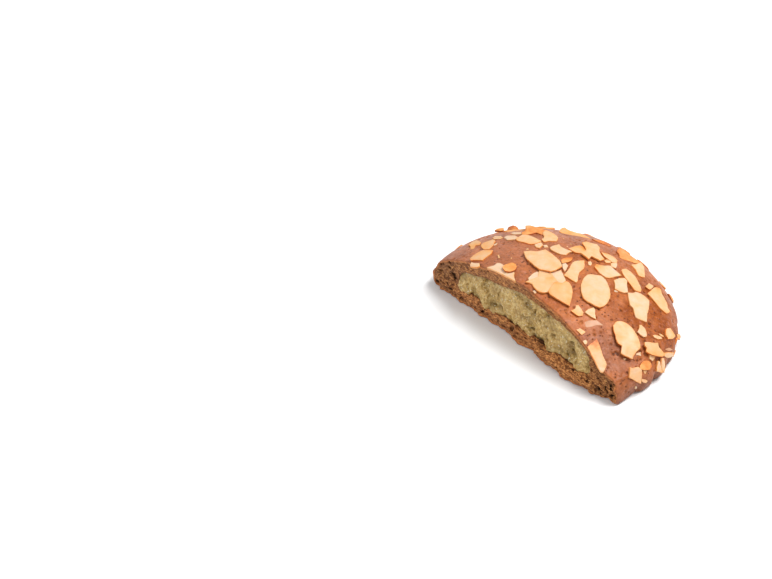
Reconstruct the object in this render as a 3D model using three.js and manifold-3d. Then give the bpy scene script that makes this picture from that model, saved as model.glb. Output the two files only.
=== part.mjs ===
// Cut piece of a filled speculaas: a round spiced biscuit with a scalloped rim and a domed top, almond
// paste baked inside it, and almond flakes baked onto it. A straight, rough cut takes off its front part
// and shows the paste between the two layers of dough.
// Frame: the origin is the centre of the round underside, +X runs along the cut, +Y from the cut to the
// rounded back, +Z up. Millimetres.
import * as THREE from "three";
import { mergeVertices } from "three/addons/utils/BufferGeometryUtils.js";
import Module from "manifold-3d";

const wasm = await Module();
wasm.setup();

const DEGREE = Math.PI / 180;
const FULL_TURN = 2 * Math.PI;

// Round side of the biscuit
const FOOT_RADIUS = 49.8;
const SIDE_BULGE = 1.1;
const SIDE_HEIGHT = 9;
const FOOT_ROUND = 0.5;
const LOBES = 31;
const LOBE_ANGLE = -1.9 * DEGREE;
const NOTCH_DEPTH = 1.4;
const NOTCH_SHARPNESS = 7;
const NOTCH_TOP = 7.5;
const FLARE = 0.6;
const FLARE_ANGLE = 8 * DEGREE;
const FLARE_SPREAD = 30 * DEGREE;

// Beyond the first notch the lobe beside the right end of the cut is drawn out to a low tip
const TIP_SPAN = 10 * DEGREE;
const TIP_REACH = 1;
const TIP_TOP = 3.5;
const BEHIND_CUT = -90 * DEGREE;

// Dome that springs from the side
const SPRING_HEIGHT = 9.5;
const TOP_HEIGHT = 27.2;
const DOME_RADIUS = 49.5;
const DOME_POWER = 0.92;
const EDGE_BLEND = 4;
const DOME_STEEPNESS = 0.8;

// The dome is fuller towards its back left, and pressed flat beside the right end of the cut
const FULL_ANGLE = 150 * DEGREE;
const FULL_POWER = 0.25;
const FULL_REACH = 1;
const PRESS_ANGLE = -14 * DEGREE;
const PRESS_SPREAD = 18 * DEGREE;
const PRESS_DEPTH = 5.5;
const PRESS_RISE = 0.9;
const PRESS_CRISP = 2;
const SKIN_WAVE = 0.4;
const SKIN_WAVE_SIZE = 11;

// Cut: a plane with crags, and a ledge of the lower layer that tore off in front of it
const CUT_Y = -11.7;
const CRAG_DEPTH = 0.9;
const CRAG_SIZE = 3.2;
const UPPER_CRAG = 0.25;
const CRAG_FADE = 4;
const LEDGE_FULL_HEIGHT = 3.2;
const LEDGE_END_HEIGHT = 6.4;
// Each step of the ledge: middle along the cut, width, rise
const LEDGE_STEPS = [
  [-5, 3, 0.8],
  [9.5, 2.5, 1.9],
  [21, 10, 0.6],
  [34, 6, -1.1],
  [42.5, 7, -2.2],
];

// Almond paste: a flat round cake that reaches up to the upper layer's inside
const PASTE_RADIUS = 37;
const PASTE_FLOOR = 5.8;
const PASTE_BLEND = 4;
const UPPER_LAYER = 4.4;
const UPPER_LAYER_LEAN = 0.055;
const PASTE_LUMP = 0.5;
const PASTE_FACE_LUMP = 1.1;
const PASTE_LUMP_SIZE = 5;
const PASTE_RECESS = 1;
const PASTE_GAP = 0.35;

// Fineness of the solids: heights of the side's rows, radii of the dome's rows, and numbers of steps
const SIDE_ROWS = [0, 0.6, 2, 4.2, 6.6, 9];
const DOME_ROWS = [49, 47, 44, 40, 35, 29, 22, 15, 8];
const FOOT_FLAT = 0.4;
const SIDE_STEPS = LOBES * 4;
const PASTE_STEPS = 72;
const PASTE_ROWS = 12;
const PASTE_HALF_HEIGHT = 7;
const SEARCH_STEPS = 40;
const WELD = 1e-4;
const BLOCK_HEIGHT = 36;
const CUT_GRID = { width: 108, along: 60, up: 18 };
const PASTE_GRID = { width: 80, along: 40, up: 16 };

// Almond flakes: slices with a rounded outline that narrows to one end, most of them broken
const FLAKE_SIDES = 10;
const FLAKE_THICKNESS = 1.2;
const FLAKE_SINK = 0.6;
const FLAKE_TAPER = 0.16;
const FLAKE_LAYER = 0.7;
// Each flake of the top: x, y, heading in degrees, length, width, layer and its straight breaks. A break has
// the direction that it faces, in degrees from the flake's narrow end, and its share of the full reach there.
const TOP_FLAKES = [
  [18.2, 7.7, -52, 18.2, 11.2, 0, []],
  [-6.5, 4.6, -8, 21, 10.4, 1, [[150, 0.63], [6, 0.8]]],
  [2.8, -5.4, -50, 14.5, 11.6, 0, [[145, 0.8], [220, 0.9], [-45, 0.85]]],
  [12.6, -5, -40, 13.6, 9.2, 1, [[-33, 0.75], [165, 0.8], [60, 0.85]]],
  [4.9, 1.8, -35, 7.6, 4.8, 0, [[20, 0.7], [170, 0.8]]],
  [6.4, 8.4, -64, 16, 6, 0, [[0, 0.72], [180, 0.85], [75, 0.8]]],
  [-1.2, 12.4, -60, 6.5, 3.8, 0, [[180, 0.85]]],
  [-7.9, 15.8, -8, 11.6, 6, 0, [[180, 0.7], [20, 0.8]]],
  [-2.1, 20.9, -15, 11.4, 8, 0, [[180, 0.8], [-20, 0.8]]],
  [0.3, 25.1, -33, 18, 7, 1, [[160, 0.8], [-15, 0.8]]],
  [6.2, 28.7, -25, 9.6, 3.8, 0, [[0, 0.8], [120, 0.8]]],
  [11.9, 21.6, 80, 10.4, 9, 0, [[0, 0.8], [90, 0.78], [200, 0.8], [270, 0.8]]],
  [19.7, 20.4, -55, 10, 5.6, 0, [[10, 0.8], [190, 0.75], [90, 0.85], [-90, 0.85]]],
  [18.4, 27.6, -22, 15.6, 7, 0, [[175, 0.75], [0, 0.85]]],
  [30.6, 18.6, -42, 17, 9.6, 0, [[165, 0.7], [-60, 0.75], [-12, 0.9], [80, 0.88]]],
  [28.9, 32, -37, 16.4, 8.4, 0, [[-55, 0.7], [170, 0.8]]],
  [41.8, 25.2, -72, 7, 6.6, 0, [[0, 0.7]]],
  [38.7, 12.4, -35, 6, 3.8, 0, [[180, 0.6]]],
  [45.7, 12.6, 70, 10, 6, 0, [[-60, 0.6], [0, 0.8], [180, 0.8]]],
  [40, 3, -14, 15.8, 9.8, 1, [[-40, 0.8], [10, 0.9]]],
  [36.8, -9.4, -22, 15.2, 6, 0, [[222, 0.7], [25, 0.85], [90, 0.85], [-90, 0.9]]],
  [24.9, -0.7, -30, 4.8, 3.2, 0, [[180, 0.7], [60, 0.7]]],
  [21.3, -5, -20, 5.2, 4, 0, [[0, 0.8], [200, 0.7], [90, 0.7]]],
  [28, -9, 40, 3.6, 2.6, 0, [[0, 0.7]]],
  [-28.8, -6, 82, 10.6, 6.8, 0, [[0, 0.8], [180, 0.85]]],
  [-13.4, -10.6, -8, 18, 4.6, 0, [[180, 0.85], [90, 0.8]]],
  [-10.9, -7.8, 0, 6.2, 4.6, 1, []],
  [-25.8, -11.4, 0, 4.8, 3.2, 0, [[180, 0.8]]],
  [-34.2, 3.2, -52, 13, 5.8, 0, [[180, 0.85]]],
  [-39.4, 0.6, -48, 12, 5.4, 0, [[0, 0.85], [180, 0.8]]],
  [-33, 16.4, -20, 12, 7.2, 0, [[165, 0.8], [0, 0.75]]],
  [-23.1, 12.3, -18, 12.6, 8.2, 0, [[165, 0.8], [0, 0.85]]],
  [-30, 24.3, -28, 16, 9, 0, [[180, 0.7]]],
  [-17.5, 18.4, -30, 11, 8.4, 1, [[0, 0.8], [100, 0.8]]],
  [-16.1, 32.3, -15, 18, 10, 0, [[10, 0.8]]],
  [-15.6, 12.2, -40, 5.8, 3.6, 0, [[180, 0.7]]],
  [3.4, 41.3, -48, 16, 8.6, 0, [[180, 0.8]]],
  [14.6, 35.2, -50, 14.5, 6.2, 1, [[0, 0.8], [180, 0.8]]],
  [-6.9, 38.6, -45, 11, 6, 0, [[180, 0.7]]],
  [34, 12.4, 20, 3.4, 1.6, 0, []],
  [42.2, 17.2, 65, 4.6, 2, 0, []],
  [-30.4, 10.1, 45, 4.8, 2.8, 0, [[180, 0.8]]],
  [2.3, 8.1, -45, 4.4, 2.2, 0, []],
  [22.3, 33.3, 40, 3.4, 3, 0, [[180, 0.8]]],
  [-40, 21.5, -20, 6, 4.5, 1, []],
  [-1.1, -5.6, 40, 5.5, 4, 0, [[180, 0.7]]],
  [8.1, 26.7, -25, 6.5, 3, 0, [[0, 0.8]]],
];
// Flakes on the unseen back: a row along the shoulder, with seeded sizes and headings
const BACK_FLAKES = { count: 9, seed: 7, from: 38 * DEGREE, to: 172 * DEGREE, stagger: 0.6 };
const BACK_RADIUS = [42, 45];
const BACK_LENGTH = [8, 14];
const BACK_WIDTH = [4, 7];
const BACK_TURN = [0, 180];
const BACK_BREAK_FACING = [160, 200];
const BACK_BREAK_SHARE = [0.6, 0.9];
// Flakes that cling to the side: angle in degrees, height, heading against the horizontal, length, width
const SIDE_FLAKES = [
  [57, 10, 35, 7, 4],
  [40, 3.6, 75, 6.4, 3.6],
  [29, 4.4, 60, 6, 3.4],
  [21.4, 7, -20, 5, 2.6],
  [15.1, 5.5, -80, 6.6, 2.2],
  [12.2, 6.5, -80, 6, 2.2],
  [10.9, 10, 80, 4.4, 2.8],
  [5.7, 9.3, 20, 5.2, 4],
  [-1.9, 8.4, 60, 7.4, 5],
  [84, 9, 15, 8, 4.4],
  [127, 8, -25, 9, 5],
  [168, 8, 40, 7, 4],
];
const SIDE_BREAKS = [[180, 0.7]];

// Smooth rise from 0 to 1 as value goes from low to high
function smoothStep(value, low, high) {
  const t = Math.min(1, Math.max(0, (value - low) / (high - low)));
  return t * t * (3 - 2 * t);
}

// Rounded larger of two distances
function smoothMax(a, b, blend) {
  const t = Math.min(1, Math.max(0, 0.5 + (0.5 * (a - b)) / blend));
  return a * t + b * (1 - t) + blend * t * (1 - t);
}

// Seeded value from -1 to 1 at each point of a whole-number grid
function gridValue(i, j, k) {
  const mixed = Math.imul(i, 374761393) ^ Math.imul(j, 668265263) ^ Math.imul(k, 1274126177);
  const hash = Math.imul(mixed ^ (mixed >>> 13), 1103515245);
  return ((hash ^ (hash >>> 16)) >>> 0) / 2 ** 31 - 1;
}

// Uneven lumps in space, from -1 to 1, of about the given size
function lumps(x, y, z, size) {
  const cell = [x, y, z].map((value) => Math.floor(value / size));
  const part = [x, y, z].map((value, axis) => smoothStep(value / size - cell[axis], 0, 1));
  let sum = 0;
  for (let corner = 0; corner < 8; corner++) {
    const step = [corner & 1, (corner >> 1) & 1, corner >> 2];
    const weight = step.reduce((product, on, axis) => product * (on ? part[axis] : 1 - part[axis]), 1);
    sum += weight * gridValue(cell[0] + step[0], cell[1] + step[1], cell[2] + step[2]);
  }
  return sum;
}

// Seeded draws from 0 to 1
function seededDraws(seed) {
  let state = seed >>> 0;
  return () => {
    state = (Math.imul(state, 1664525) + 1013904223) >>> 0;
    return state / 2 ** 32;
  };
}

// Share of the extra fullness at an angle round the axis
function fullness(angle) {
  return Math.max(0, Math.cos(angle - FULL_ANGLE));
}

// Share of the press at an angle round the axis
function pressShare(angle) {
  return Math.exp(-(((angle - PRESS_ANGLE) / PRESS_SPREAD) ** 2));
}

// Height of the dome over a point of the floor
function domeHeight(x, y) {
  const angle = Math.atan2(y, x);
  const press = pressShare(angle);
  const reach = DOME_RADIUS - PRESS_DEPTH * press + FULL_REACH * fullness(angle);
  const rest = Math.max(0, 1 - (x * x + y * y) / (reach * reach));
  const power = DOME_POWER - FULL_POWER * fullness(angle);
  const wave = SKIN_WAVE * lumps(x, y, 0, SKIN_WAVE_SIZE);
  const rise = (TOP_HEIGHT - SPRING_HEIGHT) * rest ** power + PRESS_RISE * press * (1 - rest);
  return SPRING_HEIGHT + rise + wave;
}

// Radius of the scalloped side at an angle and a height
function sideRadius(angle, z) {
  const bulge = SIDE_BULGE * Math.sin(Math.PI * Math.min(1, Math.max(0, z / SIDE_HEIGHT)));
  const turn = angle < BEHIND_CUT ? angle + FULL_TURN : angle;
  const beat = Math.abs(Math.cos((LOBES * (turn - LOBE_ANGLE)) / 2)) ** NOTCH_SHARPNESS;
  const drawn = Math.min(1, Math.max(0, (LOBE_ANGLE - turn) / TIP_SPAN));
  const notch = NOTCH_DEPTH * (turn < LOBE_ANGLE ? 1 - drawn : beat);
  const tip = TIP_REACH * drawn * (1 - smoothStep(z, 0, TIP_TOP));
  const low = 1 - smoothStep(z, NOTCH_TOP / 3, NOTCH_TOP);
  const flare = FLARE * Math.exp(-(((turn - FLARE_ANGLE) / FLARE_SPREAD) ** 2));
  const foot = FOOT_ROUND * (1 - smoothStep(z, 0, 2 * FOOT_ROUND));
  return FOOT_RADIUS + FULL_REACH * fullness(angle) + bulge + (flare - notch) * low + tip - foot;
}

// Signed distance, roughly, from the outside of the whole biscuit
function doughField(x, y, z) {
  const top = (z - domeHeight(x, y)) * DOME_STEEPNESS;
  const angle = Math.atan2(y, x);
  const side = Math.hypot(x, y) - sideRadius(angle, z);
  const blend = EDGE_BLEND - PRESS_CRISP * pressShare(angle);
  return Math.max(smoothMax(top, side, blend), -z);
}

// Signed distance, roughly, from the outside of the paste
function pasteField(x, y, z) {
  const lump = PASTE_LUMP * lumps(x, y, z, PASTE_LUMP_SIZE);
  const layer = UPPER_LAYER - UPPER_LAYER_LEAN * x;
  const top = (z - domeHeight(x, y) + layer) * DOME_STEEPNESS + lump;
  const bottom = PASTE_FLOOR - z + lump;
  const side = Math.hypot(x, y) - PASTE_RADIUS + lump;
  return smoothMax(smoothMax(top, side, PASTE_BLEND), bottom, PASTE_BLEND / 2);
}

// How far the torn ledge stands in front of the cut at a place along it
function ledgeReach(x) {
  const rise = ([middle, width, height]) => height * smoothStep(x, middle - width / 2, middle + width / 2);
  return LEDGE_STEPS.reduce((sum, step) => sum + rise(step), 0);
}

// The knife left the upper layer smoother than the torn lower one
function cragShare(z) {
  return 1 - (1 - UPPER_CRAG) * smoothStep(z, LEDGE_END_HEIGHT, LEDGE_END_HEIGHT + CRAG_FADE);
}

// The cut through the dough, and the lumpier one through the paste
function doughCut(x, z) {
  const ledge = ledgeReach(x) * (1 - smoothStep(z, LEDGE_FULL_HEIGHT, LEDGE_END_HEIGHT));
  return CUT_Y - ledge + CRAG_DEPTH * cragShare(z) * lumps(x, 0, z, CRAG_SIZE);
}
function pasteCut(x, z) {
  return CUT_Y + PASTE_RECESS + PASTE_FACE_LUMP * lumps(x, 0, z, PASTE_LUMP_SIZE);
}

// A geometry as a closed solid that can be joined and cut
function solidOf(geometry) {
  geometry.deleteAttribute("normal");
  geometry.deleteAttribute("uv");
  const merged = mergeVertices(geometry, WELD);
  const vertProperties = new Float32Array(merged.attributes.position.array);
  const triVerts = new Uint32Array(merged.index.array);
  return new wasm.Manifold(new wasm.Mesh({ numProp: 3, vertProperties, triVerts }));
}

// Moves each point of a geometry along its ray from a centre until it lies on a field's surface
function settle(geometry, centre, field, farthest) {
  const position = geometry.attributes.position;
  const point = new THREE.Vector3();
  for (let i = 0; i < position.count; i++) {
    point.fromBufferAttribute(position, i).sub(centre).normalize();
    let near = 0;
    let far = farthest;
    for (let step = 0; step < SEARCH_STEPS; step++) {
      const middle = (near + far) / 2;
      const place = point.clone().multiplyScalar(middle).add(centre);
      if (field(place.x, place.y, place.z) < 0) near = middle;
      else far = middle;
    }
    point.multiplyScalar(near).add(centre);
    position.setXYZ(i, point.x, point.y, point.z);
  }
  return geometry;
}

// Turned body about the vertical axis, from a half outline of radius and height, lowest point first
function turned(outline, steps, startAngle) {
  const points = outline.map(([radius, z]) => new THREE.Vector2(radius, z));
  return new THREE.LatheGeometry(points, steps, startAngle + Math.PI / 2, FULL_TURN).rotateX(Math.PI / 2);
}

// Puts the points that lie just over the floor on it, so that the underside is flat
function flattenFoot(geometry) {
  const position = geometry.attributes.position;
  for (let i = 0; i < position.count; i++) {
    if (position.getZ(i) < FOOT_FLAT) position.setZ(i, 0);
  }
  return geometry;
}

// Whole biscuit without its paste and flakes
function wholeDough() {
  const sideRows = SIDE_ROWS.map((z) => [FOOT_RADIUS, z]);
  const domeRows = DOME_ROWS.map((radius) => [radius, domeHeight(0, -radius)]);
  const outline = [[0, 0], ...sideRows, ...domeRows, [0, TOP_HEIGHT]];
  const centre = new THREE.Vector3(0, 0, SIDE_HEIGHT / 2);
  const body = turned(outline, SIDE_STEPS, LOBE_ANGLE);
  return solidOf(flattenFoot(settle(body, centre, doughField, 2 * FOOT_RADIUS)));
}

// Whole round of paste, grown all over by a gap
function wholePaste(gap) {
  const middle = (PASTE_FLOOR + TOP_HEIGHT - UPPER_LAYER) / 2;
  const outline = [];
  for (let row = 0; row <= PASTE_ROWS; row++) {
    const angle = -Math.PI / 2 + (Math.PI * row) / PASTE_ROWS;
    const radius = row % PASTE_ROWS === 0 ? 0 : PASTE_RADIUS * Math.cos(angle);
    outline.push([radius, middle + PASTE_HALF_HEIGHT * Math.sin(angle)]);
  }
  const centre = new THREE.Vector3(0, 0, middle);
  const grown = (x, y, z) => pasteField(x, y, z) - gap;
  return solidOf(settle(turned(outline, PASTE_STEPS, 0), centre, grown, 2 * FOOT_RADIUS));
}

// Block behind a rough cut: its front face follows the cut, its other faces lie outside the biscuit
function blockBehind(cut, grid) {
  const depth = 2 * FOOT_RADIUS;
  const block = new THREE.BoxGeometry(grid.width, BLOCK_HEIGHT, depth, grid.along, grid.up, 1);
  block.rotateX(Math.PI / 2).translate(0, 0, TOP_HEIGHT / 2);
  const position = block.attributes.position;
  for (let i = 0; i < position.count; i++) {
    const front = position.getY(i) < 0;
    position.setY(i, front ? cut(position.getX(i), position.getZ(i)) : depth);
  }
  return solidOf(block);
}

// Outline of a flake about its middle
function flakeShape(length, width, breaks) {
  const shape = [];
  for (let i = 0; i < FLAKE_SIDES; i++) {
    const turn = (FULL_TURN * (i + 0.5)) / FLAKE_SIDES;
    const along = (length / 2) * Math.cos(turn);
    const across = (width / 2) * Math.sin(turn) * (1 - FLAKE_TAPER * Math.cos(turn));
    const angle = Math.atan2(across, along);
    let reach = Math.hypot(along, across);
    for (const [facing, share] of breaks) {
      const side = facing * DEGREE;
      const limit = share * Math.hypot((length / 2) * Math.cos(side), (width / 2) * Math.sin(side));
      const lean = Math.cos(angle - side);
      if (reach * lean > limit) reach = limit / lean;
    }
    shape.push(new THREE.Vector2(reach * Math.cos(angle), reach * Math.sin(angle)));
  }
  return new THREE.Shape(shape);
}

// Outward direction of the dough's surface at a point
function outward(point) {
  const step = 0.05;
  const slope = (dx, dy, dz) =>
    doughField(point.x + dx, point.y + dy, point.z + dz) -
    doughField(point.x - dx, point.y - dy, point.z - dz);
  return new THREE.Vector3(slope(step, 0, 0), slope(0, step, 0), slope(0, 0, step)).normalize();
}

// Point where the dough's surface meets a line from a start along a direction
function surfacePoint(start, direction) {
  let near = 0;
  let far = 2 * FOOT_RADIUS;
  for (let step = 0; step < SEARCH_STEPS; step++) {
    const middle = (near + far) / 2;
    const place = start.clone().addScaledVector(direction, middle);
    if (doughField(place.x, place.y, place.z) < 0) near = middle;
    else far = middle;
  }
  return start.clone().addScaledVector(direction, near);
}

// Solid of a flake that lies on the surface at a point, its length along a heading
function flakeSolid(point, heading, length, width, layer, breaks) {
  const normal = outward(point);
  const along = heading.clone().addScaledVector(normal, -heading.dot(normal)).normalize();
  const across = normal.clone().cross(along);
  const shape = flakeShape(length, width, breaks);
  const flake = new THREE.ExtrudeGeometry(shape, { depth: FLAKE_THICKNESS, bevelEnabled: false });
  const seat = point.clone().addScaledVector(normal, FLAKE_LAYER * layer - FLAKE_SINK);
  flake.applyMatrix4(new THREE.Matrix4().makeBasis(along, across, normal).setPosition(seat));
  return solidOf(flake);
}

// Flake over a point of the floor
function topFlake([x, y, turn, length, width, layer, breaks]) {
  const point = surfacePoint(new THREE.Vector3(x, y, 1), new THREE.Vector3(0, 0, 1));
  const heading = new THREE.Vector3(Math.cos(turn * DEGREE), Math.sin(turn * DEGREE), 0);
  return flakeSolid(point, heading, length, width, layer, breaks);
}

// Flakes along the unseen back of the dome
function backFlakes() {
  const draw = seededDraws(BACK_FLAKES.seed);
  const between = ([low, high]) => low + (high - low) * draw();
  const flakes = [];
  for (let i = 0; i < BACK_FLAKES.count; i++) {
    const share = (i + BACK_FLAKES.stagger * draw()) / BACK_FLAKES.count;
    const angle = BACK_FLAKES.from + share * (BACK_FLAKES.to - BACK_FLAKES.from);
    const radius = between(BACK_RADIUS);
    const turn = between(BACK_TURN);
    const length = between(BACK_LENGTH);
    const width = between(BACK_WIDTH);
    const breaks = [[between(BACK_BREAK_FACING), between(BACK_BREAK_SHARE)]];
    const x = radius * Math.cos(angle);
    const y = radius * Math.sin(angle);
    flakes.push(topFlake([x, y, turn, length, width, 0, breaks]));
  }
  return flakes;
}

// Flake that clings to the side
function sideFlake([angle, height, turn, length, width]) {
  const out = new THREE.Vector3(Math.cos(angle * DEGREE), Math.sin(angle * DEGREE), 0);
  const point = surfacePoint(new THREE.Vector3(0, 0, height), out);
  const round = new THREE.Vector3(-out.y, out.x, 0);
  const heading = round.multiplyScalar(Math.cos(turn * DEGREE));
  heading.z = Math.sin(turn * DEGREE);
  return flakeSolid(point, heading, length, width, 0, SIDE_BREAKS);
}

// The largest body of a solid, without loose scraps and with sealed hollows filled
function mainBody(solid) {
  const bodies = solid.decompose();
  return bodies.reduce((best, body) => (body.volume() > best.volume() ? body : best));
}

// Named mesh of a solid
function meshOf(name, solid, material) {
  const { numVert, numProp, vertProperties, triVerts } = solid.getMesh();
  const points = new Float32Array(numVert * 3);
  for (let i = 0; i < numVert; i++) {
    points.set(vertProperties.subarray(i * numProp, i * numProp + 3), i * 3);
  }
  const geometry = new THREE.BufferGeometry();
  geometry.setAttribute("position", new THREE.BufferAttribute(points, 3));
  geometry.setIndex(new THREE.BufferAttribute(triVerts, 1));
  geometry.computeVertexNormals();
  const mesh = new THREE.Mesh(geometry, material);
  mesh.name = name;
  return mesh;
}

// Dough with its flakes, cut off at the front and hollowed for the paste
function crustMesh() {
  const flakes = [...TOP_FLAKES.map(topFlake), ...backFlakes(), ...SIDE_FLAKES.map(sideFlake)];
  const dressed = wasm.Manifold.union([wholeDough(), ...flakes]);
  const cut = dressed.intersect(blockBehind(doughCut, CUT_GRID)).subtract(wholePaste(PASTE_GAP));
  const material = new THREE.MeshStandardMaterial({ color: 0xa56950, roughness: 0.6, metalness: 0 });
  return meshOf("crust", mainBody(cut), material);
}

// Paste up to its own lumpy cut
function pasteMesh() {
  const cut = wholePaste(0).intersect(blockBehind(pasteCut, PASTE_GRID));
  const material = new THREE.MeshStandardMaterial({ color: 0xb5a778, roughness: 0.7, metalness: 0 });
  return meshOf("filling", mainBody(cut), material);
}

const group = new THREE.Group();
group.add(crustMesh(), pasteMesh());

export default group;
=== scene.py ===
# Looks of a cut piece of filled speculaas: baked dough, almond paste and toasted almond flakes.
# Lengths are in millimetres until a mesh is made, +X along the cut, +Y to the rounded back, +Z up.
import itertools
import math

import bpy
import numpy as np
import openvdb
from mathutils import Color, Matrix, Vector


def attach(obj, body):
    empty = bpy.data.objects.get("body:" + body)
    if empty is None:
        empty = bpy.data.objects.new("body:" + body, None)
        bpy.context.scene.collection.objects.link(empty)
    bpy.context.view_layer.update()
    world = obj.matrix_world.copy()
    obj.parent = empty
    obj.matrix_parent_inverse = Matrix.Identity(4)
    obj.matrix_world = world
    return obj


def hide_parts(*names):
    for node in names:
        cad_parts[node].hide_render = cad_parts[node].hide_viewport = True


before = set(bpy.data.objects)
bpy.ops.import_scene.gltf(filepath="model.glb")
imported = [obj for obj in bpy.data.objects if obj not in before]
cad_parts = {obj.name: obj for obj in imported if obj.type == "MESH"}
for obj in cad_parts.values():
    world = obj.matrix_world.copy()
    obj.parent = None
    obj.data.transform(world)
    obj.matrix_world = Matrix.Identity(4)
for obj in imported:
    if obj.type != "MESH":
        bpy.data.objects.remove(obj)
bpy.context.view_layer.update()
BODY = "root"
MM = 0.001

# Form of the whole biscuit
FOOT_RADIUS = 49.8
SIDE_BULGE = 1.1
SIDE_HEIGHT = 9.0
FOOT_ROUND = 0.5
LOBES = 31
LOBE_ANGLE = math.radians(-1.9)
NOTCH_DEPTH = 1.4
NOTCH_SHARPNESS = 7
NOTCH_TOP = 7.5
FLARE = 0.6
FLARE_ANGLE = math.radians(8)
FLARE_SPREAD = math.radians(30)
TIP_SPAN = math.radians(10)
TIP_REACH = 1.0
TIP_TOP = 3.5
BEHIND_CUT = math.radians(-90)
SPRING_HEIGHT = 9.5
TOP_HEIGHT = 27.2
DOME_RADIUS = 49.5
DOME_POWER = 0.92
DOME_STEEPNESS = 0.8
EDGE_BLEND = 4.0
FULL_ANGLE = math.radians(150)
FULL_POWER = 0.25
FULL_REACH = 1.0
PRESS_ANGLE = math.radians(-14)
PRESS_SPREAD = math.radians(18)
PRESS_DEPTH = 5.5
PRESS_RISE = 0.9
PRESS_CRISP = 2.0
PRESS_SOFTNESS = 0.14
SKIN_WAVE = 0.4
SKIN_WAVE_SIZE = 11.0

# Cut and torn ledge, each step of the ledge as its middle, width and rise
CUT_Y = -11.7
CRAG_DEPTH = 0.9
CRAG_SIZE = 3.2
UPPER_CRAG = 0.25
CRAG_FADE = 4.0
LEDGE_FULL_HEIGHT = 3.2
LEDGE_END_HEIGHT = 6.4
LEDGE_STEPS = ((-5, 3, 0.8), (9.5, 2.5, 1.9), (21, 10, 0.6), (34, 6, -1.1), (42.5, 7, -2.2))
CUT_ROUND = 0.35

# Almond paste
PASTE_RADIUS = 37.0
PASTE_FLOOR = 5.8
PASTE_BLEND = 4.0
UPPER_LAYER = 4.4
UPPER_LAYER_LEAN = 0.055
PASTE_LUMP = 0.5
PASTE_FACE_LUMP = 1.1
PASTE_LUMP_SIZE = 5.0
PASTE_RECESS = 1.0
PASTE_GAP = 0.05

# Crumb of the dough behind the cut
DOUGH_VOXEL = 0.35
CRUMB_DEPTH = 4.5
CRUMB_RELIEF = 0.6
CRUMB_RELIEF_SIZE = 1.6
CRUMB_SKIN = (0.28, 1.12)
CRUMB_FADE = (2.25, 4.5)
CUT_FADE = (5.4, 7.2)
OPEN_ENDS = (PASTE_RADIUS - 3, PASTE_RADIUS + 2)
OPEN_BELOW = (PASTE_FLOOR - 1, PASTE_FLOOR + 2)
LEAST_OPEN = 0.55
OPENER_BELOW = 0.3
DOUGH_BOX = (
    (-FOOT_RADIUS - 3, CUT_Y - 6, 0),
    (FOOT_RADIUS + 3, FOOT_RADIUS + 3, TOP_HEIGHT + 1),
)
DOUGH_ADAPTIVITY = 0.02
PORE_STRETCH = 2.0
PORE_LEAN = 0.3
FINE_CLOSING = 0.396
COARSE_CLOSING = 1.425
FINE_PORES = {"size": 1.2, "smallest": 0.1, "largest": 0.66}
COARSE_PORES = {"size": 2.3, "smallest": 0.2, "largest": 0.95}
# Large holes in the cut: pixel, half width, half height and depth
CUT_HOLES = (
    (452.5, 275.5, 1.7, 1.1, 3.6),
    (455, 278, 0.9, 0.8, 3.0),
    (437, 283, 1.3, 0.7, 2.6),
    (441, 281, 0.8, 0.6, 2.2),
    (586, 381, 0.5, 0.7, 2.8),
    (588, 384.5, 0.5, 0.7, 2.8),
    (590, 378.4, 0.4, 0.4, 2.2),
    (591.5, 370, 0.7, 0.8, 3.2),
    (596, 387.5, 0.4, 0.9, 2.6),
    (597.2, 391, 0.4, 0.8, 2.6),
    (600.3, 388, 0.4, 0.9, 2.8),
    (602.3, 392.5, 0.4, 0.8, 2.6),
    (606.3, 387.3, 0.5, 1.0, 3.2),
    (607.6, 391.3, 0.5, 1.0, 3.2),
    (609.8, 397, 0.7, 0.9, 3.0),
)
# Spans of depth, and for the shade beside the paste also of height, over which the tints and painted shades
# of the cut and of the skin's pits set in or end
CUT_DEPTH = (0.15, 0.55)
HOLLOW_SHADE_DEPTH = (0.25, 1.8)
PIT_DEPTH = (0.08, 0.5)
PIT_END = (0.2, 0.6)
RIND_END = (0.5, 1.0)
UNDER_DEPTH = (0.8, 1.3)
UNDER_END = (1.8, 3.0)
SHADE_BY_PASTE_END = (0.2, 1.3)
SHADE_BY_PASTE_HEIGHT = (PASTE_FLOOR + 1, PASTE_FLOOR + 4)
SKIN_PITS = 620
PIT_RADIUS = (0.3, 0.75)
PIT_RISE = 0.2
PIT_SEED = 11
# Pits on the wall beside the right end of the cut, as pixels
WALL_PITS = ((627.3, 372.5), (622.8, 381.3), (620.5, 384.2), (625.6, 386.8), (625.4, 391.6), (628.7, 392.3))
WALL_PIT_RADIUS = 0.5

# Curds, clots and grains on the paste's face
PASTE_VOXEL = 0.3
CURD_WARP = 1.3
CURD_WARP_SIZE = 3.0
CURDS = {"size": 6.0, "height": 3.3, "blend": 1.0}
CLOTS = {"size": 2.4, "height": 1.1, "blend": 0.3}
GRAINS = {"size": 1.0, "height": 0.45, "blend": 0.1}
FACE_LEVEL = 1.2
VALLEY_SHADE = (1.2, 3.0)
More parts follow.
